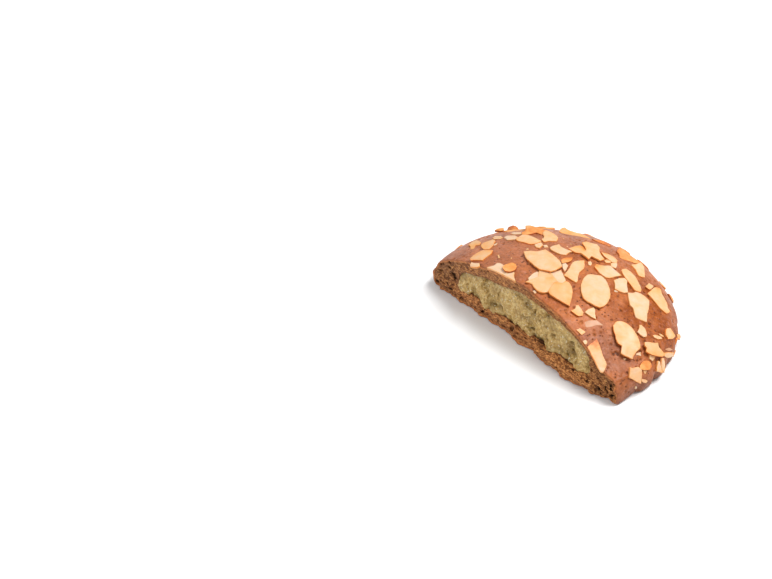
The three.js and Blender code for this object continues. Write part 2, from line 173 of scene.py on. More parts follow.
# Pits in the paste's face: pixel, half width, half height and depth
PASTE_HOLES = (
    (545.5, 339.5, 1.2, 0.8, 3.2),
    (551, 337, 1.0, 0.7, 2.2),
    (568, 346, 0.9, 0.8, 3.2),
    (576, 363, 0.6, 0.6, 1.8),
    (590.5, 369.5, 0.9, 1.0, 3.4),
    (491.5, 306.5, 0.9, 0.5, 2.2),
    (495, 298, 0.7, 1.4, 1.6),
    (532.5, 314, 0.7, 1.6, 1.6),
    (536, 323, 1.4, 0.9, 1.3),
    (528, 330.3, 1.2, 0.4, 2.6),
)
FACE_DEPTH = 5.0
FACE_FADE = (CUT_Y + 1, CUT_Y + FACE_DEPTH)
LOW_PASTE = (PASTE_FLOOR, PASTE_FLOOR + 4)
LOW_BULGE = 0.9
RIM_SWELL = 0.3
LOW_RIM_SWELL = 0.8
CRUST_SHADOW_REACH = (0.2, 2.8)
PASTE_BOX = (
    (-PASTE_RADIUS - 2, CUT_Y - 4, PASTE_FLOOR - 3),
    (PASTE_RADIUS + 2, PASTE_RADIUS + 2, TOP_HEIGHT - UPPER_LAYER + 3),
)
PASTE_ADAPTIVITY = 0.03
LOWER_GAP = 2.2
LOWER_GAP_RARITY = 0.3
LOWER_GAP_SIZE = 4.5

# Almond flakes
FLAKE_THICKNESS = 0.85
THIN_BELOW = 2.5
THINNEST = 0.5
FLAKE_SINK = 0.25
FLAKE_LAYER = 0.7
FLAKE_CONFORM = 90.0
FLAKE_STEP = 0.35
FLAKE_RAGGED = 0.1
FLAKE_RAGGED_SIZE = 0.7
RAGGED_APART = 9.7
FIBRE_APART = 31
TOAST_SEED = (3, 1)
FAR_LIFT = 0.4
LEAST_FACING = 0.42
SHARP_TURN = math.radians(42)
# Flakes that the picture shows: toast, then layer and lift of the near left edge unless both are nought, and
# the corners as pixels, across and down by turns
SEEN_FLAKES = (
    # The whole slice and those round it, down to the cut
    (0.22, 0, 0.2, (590, 274, 596, 274.8, 601.5, 275.5, 605.5, 279.5, 608.5, 285, 610.2, 291, 610.2, 297.5,
        608, 302, 604.5, 305.5, 601, 307, 596.5, 306, 591, 303, 585.5, 300, 582.5, 295.5, 581, 290,
        581.3, 284, 583.3, 278.5, 586.5, 275.2)),
    (0.26, 1, 0.9, (523.4, 251.2, 530, 250.6, 537, 251, 545.5, 249.3, 553, 254.5, 560.5, 261.5, 562, 266.2,
        556, 269.5, 551, 271.2, 544.5, 270, 539, 268.6, 531.5, 262.8, 526, 257.5)),
    (0.3, 0, 0.6, (539, 270.2, 545.5, 270.2, 551.5, 272.3, 553.5, 276, 558, 281, 553, 286, 549, 291,
        544.5, 292.2, 538.5, 291, 534, 287, 531.5, 283.6, 525, 281.5, 531, 279.3, 538, 276.5)),
    (0.4, 1, 0.9, (548, 291, 554, 282.5, 557, 281.5, 562, 283, 566, 281, 569, 282, 571.5, 286, 572.7, 291,
        572, 297, 570.5, 303, 569.8, 306, 566, 304, 557, 298.5, 550, 294)),
    (0.0, -0.4, 0.0, (551.5, 272.5, 561, 270, 564.5, 277, 566, 280.5, 562.5, 283, 557, 282.5, 552, 276)),
    (0.02, -0.4, 0.0, (528, 278, 533, 273.5, 537, 271.5, 540, 272, 539.5, 277, 533, 279.8, 529, 280)),
    (0.3, 0, 0.8, (575, 261, 584.5, 260.2, 584.2, 267.5, 579.5, 272.5, 578, 277, 577.6, 281, 576, 282.5,
        564, 275, 569, 268.5, 571, 264.5)),
    (0.0, (562, 263, 565, 262, 568, 265.5, 566.5, 269, 564.8, 271.5, 562.5, 267)),
    (0.75, 0, 0.5, (561, 260, 565, 257.5, 571, 256, 573, 257.5, 571.5, 260.5, 567, 262.3, 562, 263)),
    (0.2, 0, 0.5, (550, 247, 553.5, 245.5, 559, 244, 561, 246.5, 566, 249, 572, 251, 569, 252.3, 566, 254.7,
        560.5, 254, 555, 251.5, 551, 249.2)),
    # Group on the crown
    (0.55, 0, 0.2, (568.5, 248.5, 574, 246.3, 580, 245.2, 584, 247, 586.5, 250, 583.5, 252.5, 579, 252.8,
        575.5, 252.3, 571.5, 250)),
    (0.32, 1, 0.4, (582, 242.5, 586, 241.2, 592, 243, 597, 244, 599.8, 247.5, 599.5, 251, 601.5, 255,
        604.5, 259.3, 600.5, 260.2, 595, 257.5, 591.5, 255.8, 589, 259, 585.5, 256, 581, 252.5, 586, 250,
        585, 247)),
    (0.4, 0, 0.6, (601, 252, 605, 253, 610, 254.8, 614, 257, 617.8, 260.5, 617, 262.5, 612, 262, 609, 259.5,
        604.5, 256)),
    (0.3, (604, 260.5, 607, 259.3, 611, 261.3, 610.5, 262.8, 606, 262.5)),
    (0.2, (611.5, 263, 616.5, 262.5, 617.3, 265, 616, 268, 611, 266)),
    (0.1, (588, 262, 590.5, 260.8, 592, 263.5, 590.5, 265.5, 588.5, 264.5)),
    (0.14, 0, 0.5, (594.2, 266.5, 596, 264, 602, 265.3, 610.5, 265.5, 613, 268, 621.5, 275.3, 616, 276.3,
        610, 277.8, 605.5, 277, 600, 273, 597.5, 270)),
    (0.12, 0, 0.2, (613.8, 280, 617, 279, 620, 278, 625, 278, 627.3, 280.5, 627, 284, 628, 292, 624, 292.3,
        620, 291, 615, 288.5, 615, 284)),
    (0.36, 0, 0.8, (621.8, 269.5, 626, 268.5, 630.5, 271.5, 635, 276, 638.5, 282, 641.5, 289, 641, 292,
        637, 291, 634.5, 289.5, 630, 283.5, 625.5, 277.5, 622.5, 272.5)),
    (0.15, 0, 0.4, (628, 292.3, 633, 292.8, 635.5, 291.5, 641, 293.5, 646, 297, 649.5, 300.5, 648.8, 309,
        647.5, 314, 647, 322, 640, 319.5, 636, 317, 634.5, 312.5, 633.2, 307.5, 630.5, 305, 629, 299)),
    (0.1, (614, 290.5, 616, 290, 618.3, 292, 615.5, 292)),
    # Right shoulder and the skin below it
    (0.72, 0, 0.5, (617, 251.5, 618, 248.5, 620.3, 246.8, 626, 251.5, 633, 257.5, 640, 261.5, 641, 263,
        636, 263.5, 630, 261.3, 624, 260, 619.5, 257.5, 619, 254)),
    (0.3, 0, 0.5, (631, 264.5, 636, 264, 641, 262, 643.5, 265.5, 644.5, 270, 645, 277.3, 642, 276.8,
        639, 275.5, 637, 272.5, 635.5, 269)),
    (0.35, (645.5, 286.5, 649, 283, 653.5, 286, 652, 288.3, 649.8, 289.8)),
    (0.36, 0, 0.8, (647.5, 293.5, 651, 290, 655, 287.2, 659, 287.5, 661, 289.5, 662, 293.5, 664.5, 298,
        667.5, 304, 668, 308, 670, 311, 669, 312.8, 666.5, 313.3, 662, 309.5, 657, 304, 653, 299,
        650, 295.5)),
    (0.75, (668.5, 293.5, 670, 294, 672.5, 297.5, 674, 301, 673.5, 303, 671.5, 299)),
    (0.22, 0, 0.3, (639.5, 324.5, 641.5, 324.8, 645, 328.5, 647, 334, 646.5, 336.5, 644, 337, 641, 334.8,
        637.5, 331.8, 639, 329)),
    (0.42, 0, 0.2, (667, 328.5, 670.5, 328, 673, 331.5, 675.5, 336, 673, 338.8, 668.5, 339, 666.3, 335,
        666.2, 331)),
    (0.3, 0, 0.3, (652.8, 335, 656, 335, 660.5, 336.5, 662.3, 338.5, 659, 339, 654.5, 337.5)),
    (0.4, (658.5, 333.3, 662, 334.5, 664.5, 337, 661, 336)),
    (0.65, (677, 334.5, 679.5, 334, 681, 336.5, 680, 340, 677.5, 338)),
    (0.34, 1, 1.2, (613, 325, 617, 321, 622, 321.2, 628, 324, 633.5, 329.5, 638, 337, 640.3, 344, 640.8, 348,
        637, 351.5, 634, 356, 632.5, 359.3, 628, 357, 622, 354.3, 621, 353, 622, 345.5, 618.5, 343.5,
        616.5, 340, 615.5, 336, 613.5, 330)),
    (0.15, (636, 353.5, 640.5, 352, 641, 355.8, 636, 355)),
    (0.3, 0, 0.3, (587.2, 346.5, 596.8, 338, 598.5, 342, 601, 349, 603.5, 357, 606.5, 363.5, 606, 368,
        603, 373, 600.5, 371.5, 594, 359.5)),
    (0.4, (576, 329.5, 580, 328.2, 586, 332, 582, 335.2, 580.5, 334)),
    (0.15, (583, 341, 586, 339.5, 587.5, 342, 586, 344.5, 584, 343.5)),
    (0.35, 0, 0.5, (576, 305, 578.5, 305.2, 581, 308.5, 583.5, 312.5, 582.5, 315.5, 579, 315.8, 575, 313.8,
        570.8, 310.2, 575, 308.5)),
    (0.2, 0, 0.3, (585, 312, 588, 309.2, 593.5, 307.5, 595, 309, 595.2, 314, 596, 319, 592, 317,
        588.5, 314.5)),
    (0.02, (532.5, 291, 534.5, 290.3, 536.5, 292.5, 535, 293.5)),
    # Flakes on the wall at the right
    (0.36, 1, 0.5, (645, 342, 649, 342, 653, 342.8, 658, 342.6, 659.2, 347, 662, 350.3, 665.4, 354.8,
        662.8, 356.4, 656, 355.7, 649.6, 353.6, 646.3, 351.2, 647, 347.8, 645, 345.3)),
    (0.3, (649.6, 353, 656.4, 354.5, 654.6, 358.6, 652.9, 361.2, 650, 359)),
    (0.2, 0, 0.2, (663, 353.8, 668.7, 352.8, 674, 352.8, 673.7, 356, 669.5, 357.9, 665.5, 357)),
    (0.7, 0, 0.4, (640, 366, 643, 361.5, 648, 360.5, 651.5, 363, 652, 366.5, 649, 370, 643.5, 370,
        640, 368.5)),
    (0.3, 0, 0.3, (630.5, 367.5, 634, 368, 638.5, 366.7, 642, 370, 642, 376, 641.2, 384, 639, 383, 634, 380,
        629.3, 377.5, 630, 373)),
    (0.35, 0, 0.2, (658.5, 361, 660, 361.5, 661, 366, 663, 371.5, 662.5, 373.5, 659.5, 372, 656.8, 371.5,
        657.5, 366)),
    (0.3, (662, 358.5, 664, 358, 665, 363, 665.2, 369, 664.5, 373, 663, 371, 661.5, 366)),
    (0.35, (643, 370.5, 647, 370.5, 646, 373, 645, 374.5)),
    (0.3, (641.5, 379, 645, 379.5, 648, 381, 646, 383.3, 642.5, 382)),
    (0.1, (634.8, 388.6, 635.8, 386.2, 637.2, 386.8, 636.4, 389)),
    # Left part, from the cut up to the back
    (0.06, (486.5, 267.3, 491, 266, 494, 265.3, 497, 262.8, 500, 263, 504, 265.5, 508, 269, 514.5, 271.5,
        514, 276, 515.5, 281, 509, 277.5, 503, 274.5, 497, 271.5, 491, 268.8)),
    (0.55, 1, 0.3, (503, 266, 506, 264, 512, 262.3, 515.5, 264, 516.5, 267, 514.5, 270, 510, 271.5,
        505.5, 270.8, 503, 268.5)),
    (0.4, 0, 0.3, (469.5, 258.5, 475, 254, 483, 249.8, 493, 250, 491.5, 253, 487, 256, 482.5, 260, 476, 259.7,
        470.5, 260)),
    (0.1, (470, 265, 471.5, 262, 474, 263, 479.3, 263, 479.6, 265.5, 477, 267, 471, 266.3)),
    (0.35, 0, 0.3, (481, 245, 483.5, 242.5, 488, 241, 493, 239.2, 495.5, 240.5, 494, 243, 492.5, 246,
        489, 249.2, 484, 249.3, 481.5, 247.2)),
    (0.05, (493.5, 244.5, 497.5, 242.8, 496.5, 244.2, 494, 245.6)),
    (0.2, (492.5, 237.5, 495, 236, 501, 235.8, 502.8, 237.5, 500, 239, 494, 239)),
    (0.4, 0, 0.2, (468, 245, 472, 242, 477, 240.2, 480.5, 242, 480, 245, 475.5, 245.5, 474, 249, 470.5, 249.2,
        470, 246)),
    (0.12, (504, 237, 507, 235.5, 515, 235.3, 518, 237, 515, 239.2, 507, 239.8)),
    (0.15, (511, 233.3, 514, 232, 521, 232.3, 521.5, 234, 514, 234.3)),
    (0.95, 1, 0.0, (507, 229.5, 508.5, 226.8, 513, 225.2, 516, 226, 518.5, 228.5, 518, 230)),
    (0.6, 0, 0.2, (503, 230.8, 507, 230, 516, 229.5, 525, 229.3, 524, 231.5, 512, 231.8, 505, 231.5)),
    (0.6, (494.5, 230.3, 497, 228.5, 503.5, 227.7, 504, 230, 500, 231)),
    (0.3, 0, 0.3, (515.5, 238.5, 522, 234.5, 528.5, 235, 541.5, 241, 536.5, 243, 530.5, 244.2, 525, 242.5,
        517, 240.3)),
    (0.1, (534.5, 244.5, 541, 242.3, 543, 244.5, 539.5, 248, 536, 247)),
    (0.1, (543, 245, 547, 244.8, 548.5, 247.2, 544.5, 247.5)),
    (0.62, 1, 0.3, (525.3, 225.3, 530, 225.2, 538, 227.5, 543, 229, 546, 232, 545.5, 236, 540, 234,
        536.5, 232.5, 528.5, 234.5, 522, 235, 521.5, 232.5, 525.2, 230)),
    (0.36, 0, 0.3, (545, 229.5, 551, 232, 556.5, 235.5, 558.2, 238, 556.5, 241, 549, 240.8, 544, 241.8,
        541.5, 239.2, 544, 237.3, 543, 233)),
    (0.6, (540, 227.8, 548, 227.3, 555, 227.6, 554.5, 229.7, 545, 229.3)),
    (0.5, 0, 0.7, (558.7, 231, 561.5, 228, 564.5, 227.2, 568, 229.5, 575, 232, 584, 235, 591, 238.5,
        590.5, 241.5, 585, 240.3, 575, 237.8, 568, 237, 563, 234)),
    (0.85, (592, 238.8, 600, 240.2, 605, 241.3, 611, 245, 611.5, 247, 606, 245, 598, 242)),
    (0.4, (497.5, 255, 499, 254.5, 500, 257.5, 498.5, 258)),
)
# Flakes that lie flush in the skin under its glaze
SUNK_FLAKES = (
    (0.0, -0.75, 0.0, (582, 325.5, 585, 322, 590, 320.5, 597, 320.2, 600, 322.5, 604, 325.5, 597, 325.2,
        590, 327, 584.5, 327)),
    (0.0, -0.75, 0.0, (665, 349.5, 669, 347.8, 673, 349.8, 669, 350.8)),
)
SUNK_VEIL = 0.75
TOAST_SLOPE = 0.12
# Darker spots on the flakes: pixel, reach and added toast
HOT_SPOTS = (
    (550, 279.5, 1.3, 0.5),
    (557, 284, 2.2, 0.22),
    (569, 303, 1.6, 0.4),
    (565, 294.5, 1.2, 0.25),
    (596, 267, 2.4, 0.5),
    (595.5, 343, 4.5, 0.4),
    (637, 307.5, 1.0, 0.25),
    (570.5, 258, 2.0, 0.25),
    (584, 250, 2.0, 0.25),
    (614, 327, 2.0, 0.25),
    (616, 337, 2.2, 0.3),
    (653, 355.5, 1.6, 0.3),
    (658, 291, 2.0, 0.25),
    (539, 232.5, 2.0, 0.2),
    (509, 268, 2.0, 0.2),
)
# Flakes on the side wall, seen edge on or not at all: angle, height, heading, length, width and toast
SIDE_FLAKES = (
    (33, 4.4, 70, 4.6, 2.4, 0.5),
    (28.5, 2.4, 35, 3.2, 2.0, 0.35),
    (84, 9, 15, 8, 4.4, 0.5),
    (127, 8, -25, 9, 5, 0.5),
    (168, 8, 40, 7, 4, 0.5),
    (70, 7.6, -35, 6, 3.8, 0.35),
    (77, 4, 60, 4.6, 3, 0.4),
    (96, 10, 10, 8, 4.6, 0.3),
    (105, 5, -50, 6, 3.6, 0.45),
    (114, 10.5, 35, 7, 4.4, 0.35),
    (138, 12, -15, 9, 5.2, 0.3),
    (146, 6.5, 55, 6.4, 3.8, 0.5),
    (156, 10.5, 25, 7.4, 4.4, 0.4),
    (178, 9.5, -30, 7, 4.4, 0.35),
    (185, 5, 45, 5, 3.2, 0.4),
)
SIDE_SHARE = 0.7
OVAL_CORNERS = 14
OVAL_TAPER = 0.16
# Small almond splinters strewn over the skin
SPLINTERS = 16
SPLINTER_SEED = 23
SPLINTER_ANGLE = (-8, 188)
SPLINTER_LENGTH = (0.6, 1.5)
SPLINTER_SLIM = (0.4, 0.9)
SPLINTER_TOAST = (0.1, 0.5)
SPLINTER_RADIUS = (6, 46)
SPLINTER_TURN = (0, 180)
SPLINTER_SHARE = (0.6, 0.9)

# The view of the picture, whose origin pixel shows the biscuit's origin
PICTURE_SIZE = np.array([772, 579])
SENSOR_WIDTH = 36.0
LENS = 100.0
CAMERA_AZIMUTH = math.radians(48.8)
CAMERA_ELEVATION = math.radians(37)
CAMERA_DISTANCE = 820.0
ORIGIN_PIXEL = (543.3, 329.8)
PIXEL_SIZE = SENSOR_WIDTH / PICTURE_SIZE[0] * CAMERA_DISTANCE / LENS
VIEW_BACK = np.array([
    math.sin(CAMERA_AZIMUTH) * math.cos(CAMERA_ELEVATION),
    -math.cos(CAMERA_AZIMUTH) * math.cos(CAMERA_ELEVATION),
    math.sin(CAMERA_ELEVATION),
])
VIEW_RIGHT = np.array([math.cos(CAMERA_AZIMUTH), math.sin(CAMERA_AZIMUTH), 0.0])
VIEW_UP = np.cross(VIEW_BACK, VIEW_RIGHT)
# Way in the picture in which the light throws the flakes' shadows
SHADE_WAY = -0.75 * VIEW_RIGHT - 0.66 * VIEW_UP
SIGHT_STEP = 0.25
SIGHT_ROUNDS = 8
WALL_STEP = 0.05
NORMAL_STEP = 0.05
HALVINGS = 40
ABOVE_TOP = 2


def sight_line(pixel):
    """From the camera along a pixel's line of sight, as far as the biscuit's origin."""
    aside, below = (np.asarray(pixel) - PICTURE_SIZE / 2) * PIXEL_SIZE
    return VIEW_RIGHT * aside - VIEW_UP * below - VIEW_BACK * CAMERA_DISTANCE


CAMERA_PLACE = -sight_line(ORIGIN_PIXEL)

# Fixed random numbers, and helper functions shared by all fields
HASH_STEPS = (374761393, 668265263, 1274126177)
HASH_MIX = 1103515245
HASH_SHIFTS = (13, 16)
WORD = 0xFFFFFFFF
HALF_WORD = 2.0 ** 31
OWN_STEPS = (7, 3, 5)
DRAW_FACTOR = 1664525
DRAW_STEP = 1013904223
NEIGHBOURS = tuple(itertools.product((-1, 0, 1), repeat=3))


def smooth_step(value, low, high):
    share = np.clip((value - low) / (high - low), 0, 1)
    return share * share * (3 - 2 * share)


def smooth_fall(value, low, high):
    return 1 - smooth_step(value, low, high)


def smooth_max(first, second, blend):
    share = np.clip(0.5 + 0.5 * (first - second) / blend, 0, 1)
    return first * share + second * (1 - share) + blend * share * (1 - share)


def grid_value(i, j, k):
    """A fixed number from -1 to 1 for each whole grid place."""
    mixed = ((i * HASH_STEPS[0]) ^ (j * HASH_STEPS[1]) ^ (k * HASH_STEPS[2])) & WORD
    mixed = ((mixed ^ (mixed >> HASH_SHIFTS[0])) * HASH_MIX) & WORD
    return (mixed ^ (mixed >> HASH_SHIFTS[1])) / HALF_WORD - 1.0


def grid_share(*place):
    """A fixed number from 0 to 1 for each whole grid place."""
    return 0.5 + 0.5 * grid_value(*place)


def in_cells(x, y, z, size):
    """Places measured in cells of a size, and the cells they lie in."""
    scaled = [np.asarray(value, dtype=float) / size for value in (x, y, z)]
    return scaled, [np.floor(value).astype(np.int64) for value in scaled]


def lumps(x, y, z, size):
    """Soft random lumps from -1 to 1, about as wide as the size."""
    scaled, cells = in_cells(x, y, z, size)
    shares = [smooth_step(value - cell, 0, 1) for value, cell in zip(scaled, cells)]
    total = 0.0
    for corner in itertools.product((0, 1), repeat=3):
        weight = 1.0
        for share, step in zip(shares, corner):
            weight = weight * (share if step else 1 - share)
        total = total + weight * grid_value(*(cell + step for cell, step in zip(cells, corner)))
    return total


def seeded_points(x, y, z, size):
    """Yields the distance to the seeded point of each cell around a place, and that point's own number."""
    scaled, cells = in_cells(x, y, z, size)
    for step in NEIGHBOURS:
        place = [cell + move for cell, move in zip(cells, step)]
        squared = 0.0
        for axis in range(3):
            jitter = grid_share(*place[axis:], *place[:axis])
            squared = squared + (place[axis] + jitter - scaled[axis]) ** 2
        own = grid_share(*(value + move for value, move in zip(place, OWN_STEPS)))
        yield np.sqrt(squared) * size, own


def soft_distance(x, y, z, size, blend):
    """Distance to the nearest seeded point, rounded off where two are equally near."""
    first = np.inf
    second = np.inf
    for distance, _ in seeded_points(x, y, z, size):
        second = np.minimum(second, np.maximum(first, distance))
        first = np.minimum(first, distance)
    return -smooth_max(-first, -second, blend)


def pores(x, y, z, size, smallest, largest):
    """Depth inside the deepest of many seeded round pores."""
    depth = -np.inf
    for distance, own in seeded_points(x, y, z, size):
        depth = np.maximum(depth, smallest + (largest - smallest) * own - distance)
    return depth


def seeded_draws(seed):
    """Yields a fixed row of numbers from 0 to 1."""
    state = seed
    while True:
        state = (state * DRAW_FACTOR + DRAW_STEP) & WORD
        yield state / (WORD + 1)


def draw_between(draws, limits):
    low, high = limits
    return low + (high - low) * next(draws)


# Form of the biscuit as fields that are negative inside
def fullness(angle):
    return np.maximum(0, np.cos(angle - FULL_ANGLE))


def press_share(angle):
    return np.exp(-(((angle - PRESS_ANGLE) / PRESS_SPREAD) ** 2))


def dome_height(x, y):
    angle = np.arctan2(y, x)
    full = fullness(angle)
    press = press_share(angle)
    reach = DOME_RADIUS - PRESS_DEPTH * press + FULL_REACH * full
    inside = 1 - (x * x + y * y) / reach ** 2
    rest = (inside + np.sqrt(inside * inside + (PRESS_SOFTNESS * press) ** 2)) / 2
    rise = (TOP_HEIGHT - SPRING_HEIGHT) * rest ** (DOME_POWER - FULL_POWER * full)
    rise = rise + PRESS_RISE * press * (1 - np.maximum(0, inside))
    return SPRING_HEIGHT + rise + SKIN_WAVE * lumps(x, y, np.zeros_like(x * y), SKIN_WAVE_SIZE)


def side_radius(angle, z):
    bulge = SIDE_BULGE * np.sin(math.pi * np.clip(z / SIDE_HEIGHT, 0, 1))
    turn = np.where(angle < BEHIND_CUT, angle + 2 * math.pi, angle)
    beat = np.abs(np.cos(LOBES * (turn - LOBE_ANGLE) / 2)) ** NOTCH_SHARPNESS
    drawn = np.clip((LOBE_ANGLE - turn) / TIP_SPAN, 0, 1)
    notch = NOTCH_DEPTH * np.where(turn < LOBE_ANGLE, 1 - drawn, beat)
    tip = TIP_REACH * drawn * smooth_fall(z, 0, TIP_TOP)
    low = smooth_fall(z, NOTCH_TOP / 3, NOTCH_TOP)
    flare = FLARE * np.exp(-(((turn - FLARE_ANGLE) / FLARE_SPREAD) ** 2))
    foot = FOOT_ROUND * smooth_fall(z, 0, 2 * FOOT_ROUND)
    return FOOT_RADIUS + FULL_REACH * fullness(angle) + bulge + (flare - notch) * low + tip - foot


def dough_field(x, y, z):
    top = (z - dome_height(x, y)) * DOME_STEEPNESS
    angle = np.arctan2(y, x)
    side = np.hypot(x, y) - side_radius(angle, z)
    blend = EDGE_BLEND - PRESS_CRISP * press_share(angle)
    return np.maximum(smooth_max(top, side, blend), -z)


def paste_field(x, y, z):
    lump = PASTE_LUMP * lumps(x, y, z, PASTE_LUMP_SIZE)
    layer = UPPER_LAYER - UPPER_LAYER_LEAN * x
    top = (z - dome_height(x, y) + layer) * DOME_STEEPNESS + lump
    bottom = PASTE_FLOOR - z + lump
    side = np.hypot(x, y) - PASTE_RADIUS + lump
    return smooth_max(smooth_max(top, side, PASTE_BLEND), bottom, PASTE_BLEND / 2)


def ledge_reach(x):
    reach = 0.0
    for middle, width, rise in LEDGE_STEPS:
        reach = reach + rise * smooth_step(x, middle - width / 2, middle + width / 2)
    return reach


def crag_share(z):
    """The knife left the upper layer smoother than the torn lower one."""
    return 1 - (1 - UPPER_CRAG) * smooth_step(z, LEDGE_END_HEIGHT, LEDGE_END_HEIGHT + CRAG_FADE)


def face_lumps(x, z, size):
    return lumps(x, np.zeros_like(x), z, size)


def dough_cut(x, z):
    ledge = ledge_reach(x) * smooth_fall(z, LEDGE_FULL_HEIGHT, LEDGE_END_HEIGHT)
    return CUT_Y - ledge + CRAG_DEPTH * crag_share(z) * face_lumps(x, z, CRAG_SIZE)


def paste_cut(x, z):
    return CUT_Y + PASTE_RECESS + PASTE_FACE_LUMP * face_lumps(x, z, PASTE_LUMP_SIZE)


# Meshes from fields
def grid_axes(low, high, voxel):
    """Grid lines along each axis, shaped so that they spread over one another."""
    return np.ix_(*(np.arange(start - 2 * voxel, end + 3 * voxel, voxel) for start, end in zip(low, high)))


def main_body(count, faces):
    """Marks the points of the largest joined body, without loose crumbs and sealed bubbles."""
    label = np.arange(count)
    while True:
        lowest = label[faces].min(axis=1)
        fresh = label.copy()
        for corner in range(faces.shape[1]):
            np.minimum.at(fresh, faces[:, corner], lowest)
        fresh = fresh[fresh]
        if np.array_equal(fresh, label):
            break
        label = fresh
    return label == np.bincount(label).argmax()


def field_surface(field, axes, voxel, adaptivity):
    """Points in millimetres and triangles of the surface where the field is zero."""
    band = 3 * voxel
    grid = openvdb.FloatGrid(band)
    grid.copyFromArray(np.clip(field, -band, band))
    points, triangles, quads = grid.convertToPolygons(isovalue=0.0, adaptivity=adaptivity)
    faces = np.concatenate([triangles, quads[:, [0, 1, 2]], quads[:, [0, 2, 3]]]).astype(np.int64)
    low = np.array([axis.flat[0] for axis in axes])
    points = low + np.asarray(points, dtype=float) * voxel
    kept = main_body(len(points), faces)
    faces = faces[kept[faces[:, 0]]]
    renumbered = np.cumsum(kept) - 1
    points = points[kept]
    faces = renumbered[faces]
    corners = points[faces]
    volume = np.einsum("ij,ij->i", corners[:, 0], np.cross(corners[:, 1], corners[:, 2])).sum()
    return points, faces if volume > 0 else faces[:, ::-1]


def place_in_scene(name, data):
    thing = bpy.data.objects.new(name, data)
    bpy.context.scene.collection.objects.link(thing)
    return thing


def add_piece(name, points, faces, node, attributes):
    """A smooth mesh object that rides with the biscuit and stands for one of its solids."""
    mesh = bpy.data.meshes.new(name)
    mesh.from_pydata((points * MM).tolist(), [], faces.tolist())
    mesh.shade_smooth()
    for title, values in attributes.items():
        layer = mesh.attributes.new(title, "FLOAT", "POINT")
        layer.data.foreach_set("value", np.asarray(values, dtype=np.float32))
    piece = place_in_scene(name, mesh)
    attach(piece, BODY)
    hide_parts(node)
    return piece


# Dough with its pocket, crumb and skin pits
def carve_balls(field, axes, balls):
    """Takes stretched balls, each a centre and three half widths, out of the field."""
    lines = [axis.ravel() for axis in axes]
    for centre, halves in balls:
        spans = []
        squares = []
        for line, middle, half in zip(lines, centre, halves):
            span = slice(*np.searchsorted(line, (middle - 2 * half, middle + 2 * half)))
            spans.append(span)
            squares.append(((line[span] - middle) / half) ** 2)
        window = field[tuple(spans)]
        np.maximum(window, (1 - np.sqrt(sum(np.ix_(*squares)))) * min(halves), out=window)


def top_surface(x, y):
    """Height of the skin over a place, by halving the gap between inside and outside."""
    low = np.zeros_like(x)
    high = np.full_like(x, TOP_HEIGHT + ABOVE_TOP)
    for _ in range(HALVINGS):
        middle = (low + high) / 2
        inside = dough_field(x, y, middle) < 0
        low = np.where(inside, middle, low)
        high = np.where(inside, high, middle)
    return low


def level_way(angle):
    return np.array([math.cos(angle), math.sin(angle), 0.0])


def top_place(angle, radius):
    x, y, _ = level_way(angle) * radius
    return np.array([x, y, float(top_surface(np.array(x), np.array(y)))])


def skin_pits():
    """Small round pits spread over the skin by seeded draws."""
    draws = seeded_draws(PIT_SEED)
    balls = []
    for _ in range(SKIN_PITS):
        radius = FOOT_RADIUS * math.sqrt(next(draws))
        angle = draw_between(draws, (-math.pi, math.pi))
        half = draw_between(draws, PIT_RADIUS)
        x, y, z = top_place(angle, radius)
        balls.append(((x, y, z + PIT_RISE * half), (half, half, half)))
    return balls + [(pixel_place(pixel), (WALL_PIT_RADIUS,) * 3) for pixel in WALL_PITS]


def cut_spot(pixel):
    """Place on the plane of the cut that a pixel shows."""
    way = pixel_way(pixel)
    return CAMERA_PLACE + way * (CUT_Y - CAMERA_PLACE[1]) / way[1]


def cut_hole(across, down, half_width, half_height, depth):
    """Stretched ball on the cut where a pixel shows it."""
    return cut_spot((across, down)), (half_width, depth, half_height)


def crumb_openness(x, z):
    """How open the crumb is: finest above the paste, coarser below it, coarsest at the two ends."""
    ends = smooth_step(np.abs(x), *OPEN_ENDS)
    return np.maximum(ends, LEAST_OPEN + OPENER_BELOW * smooth_fall(z, *OPEN_BELOW))


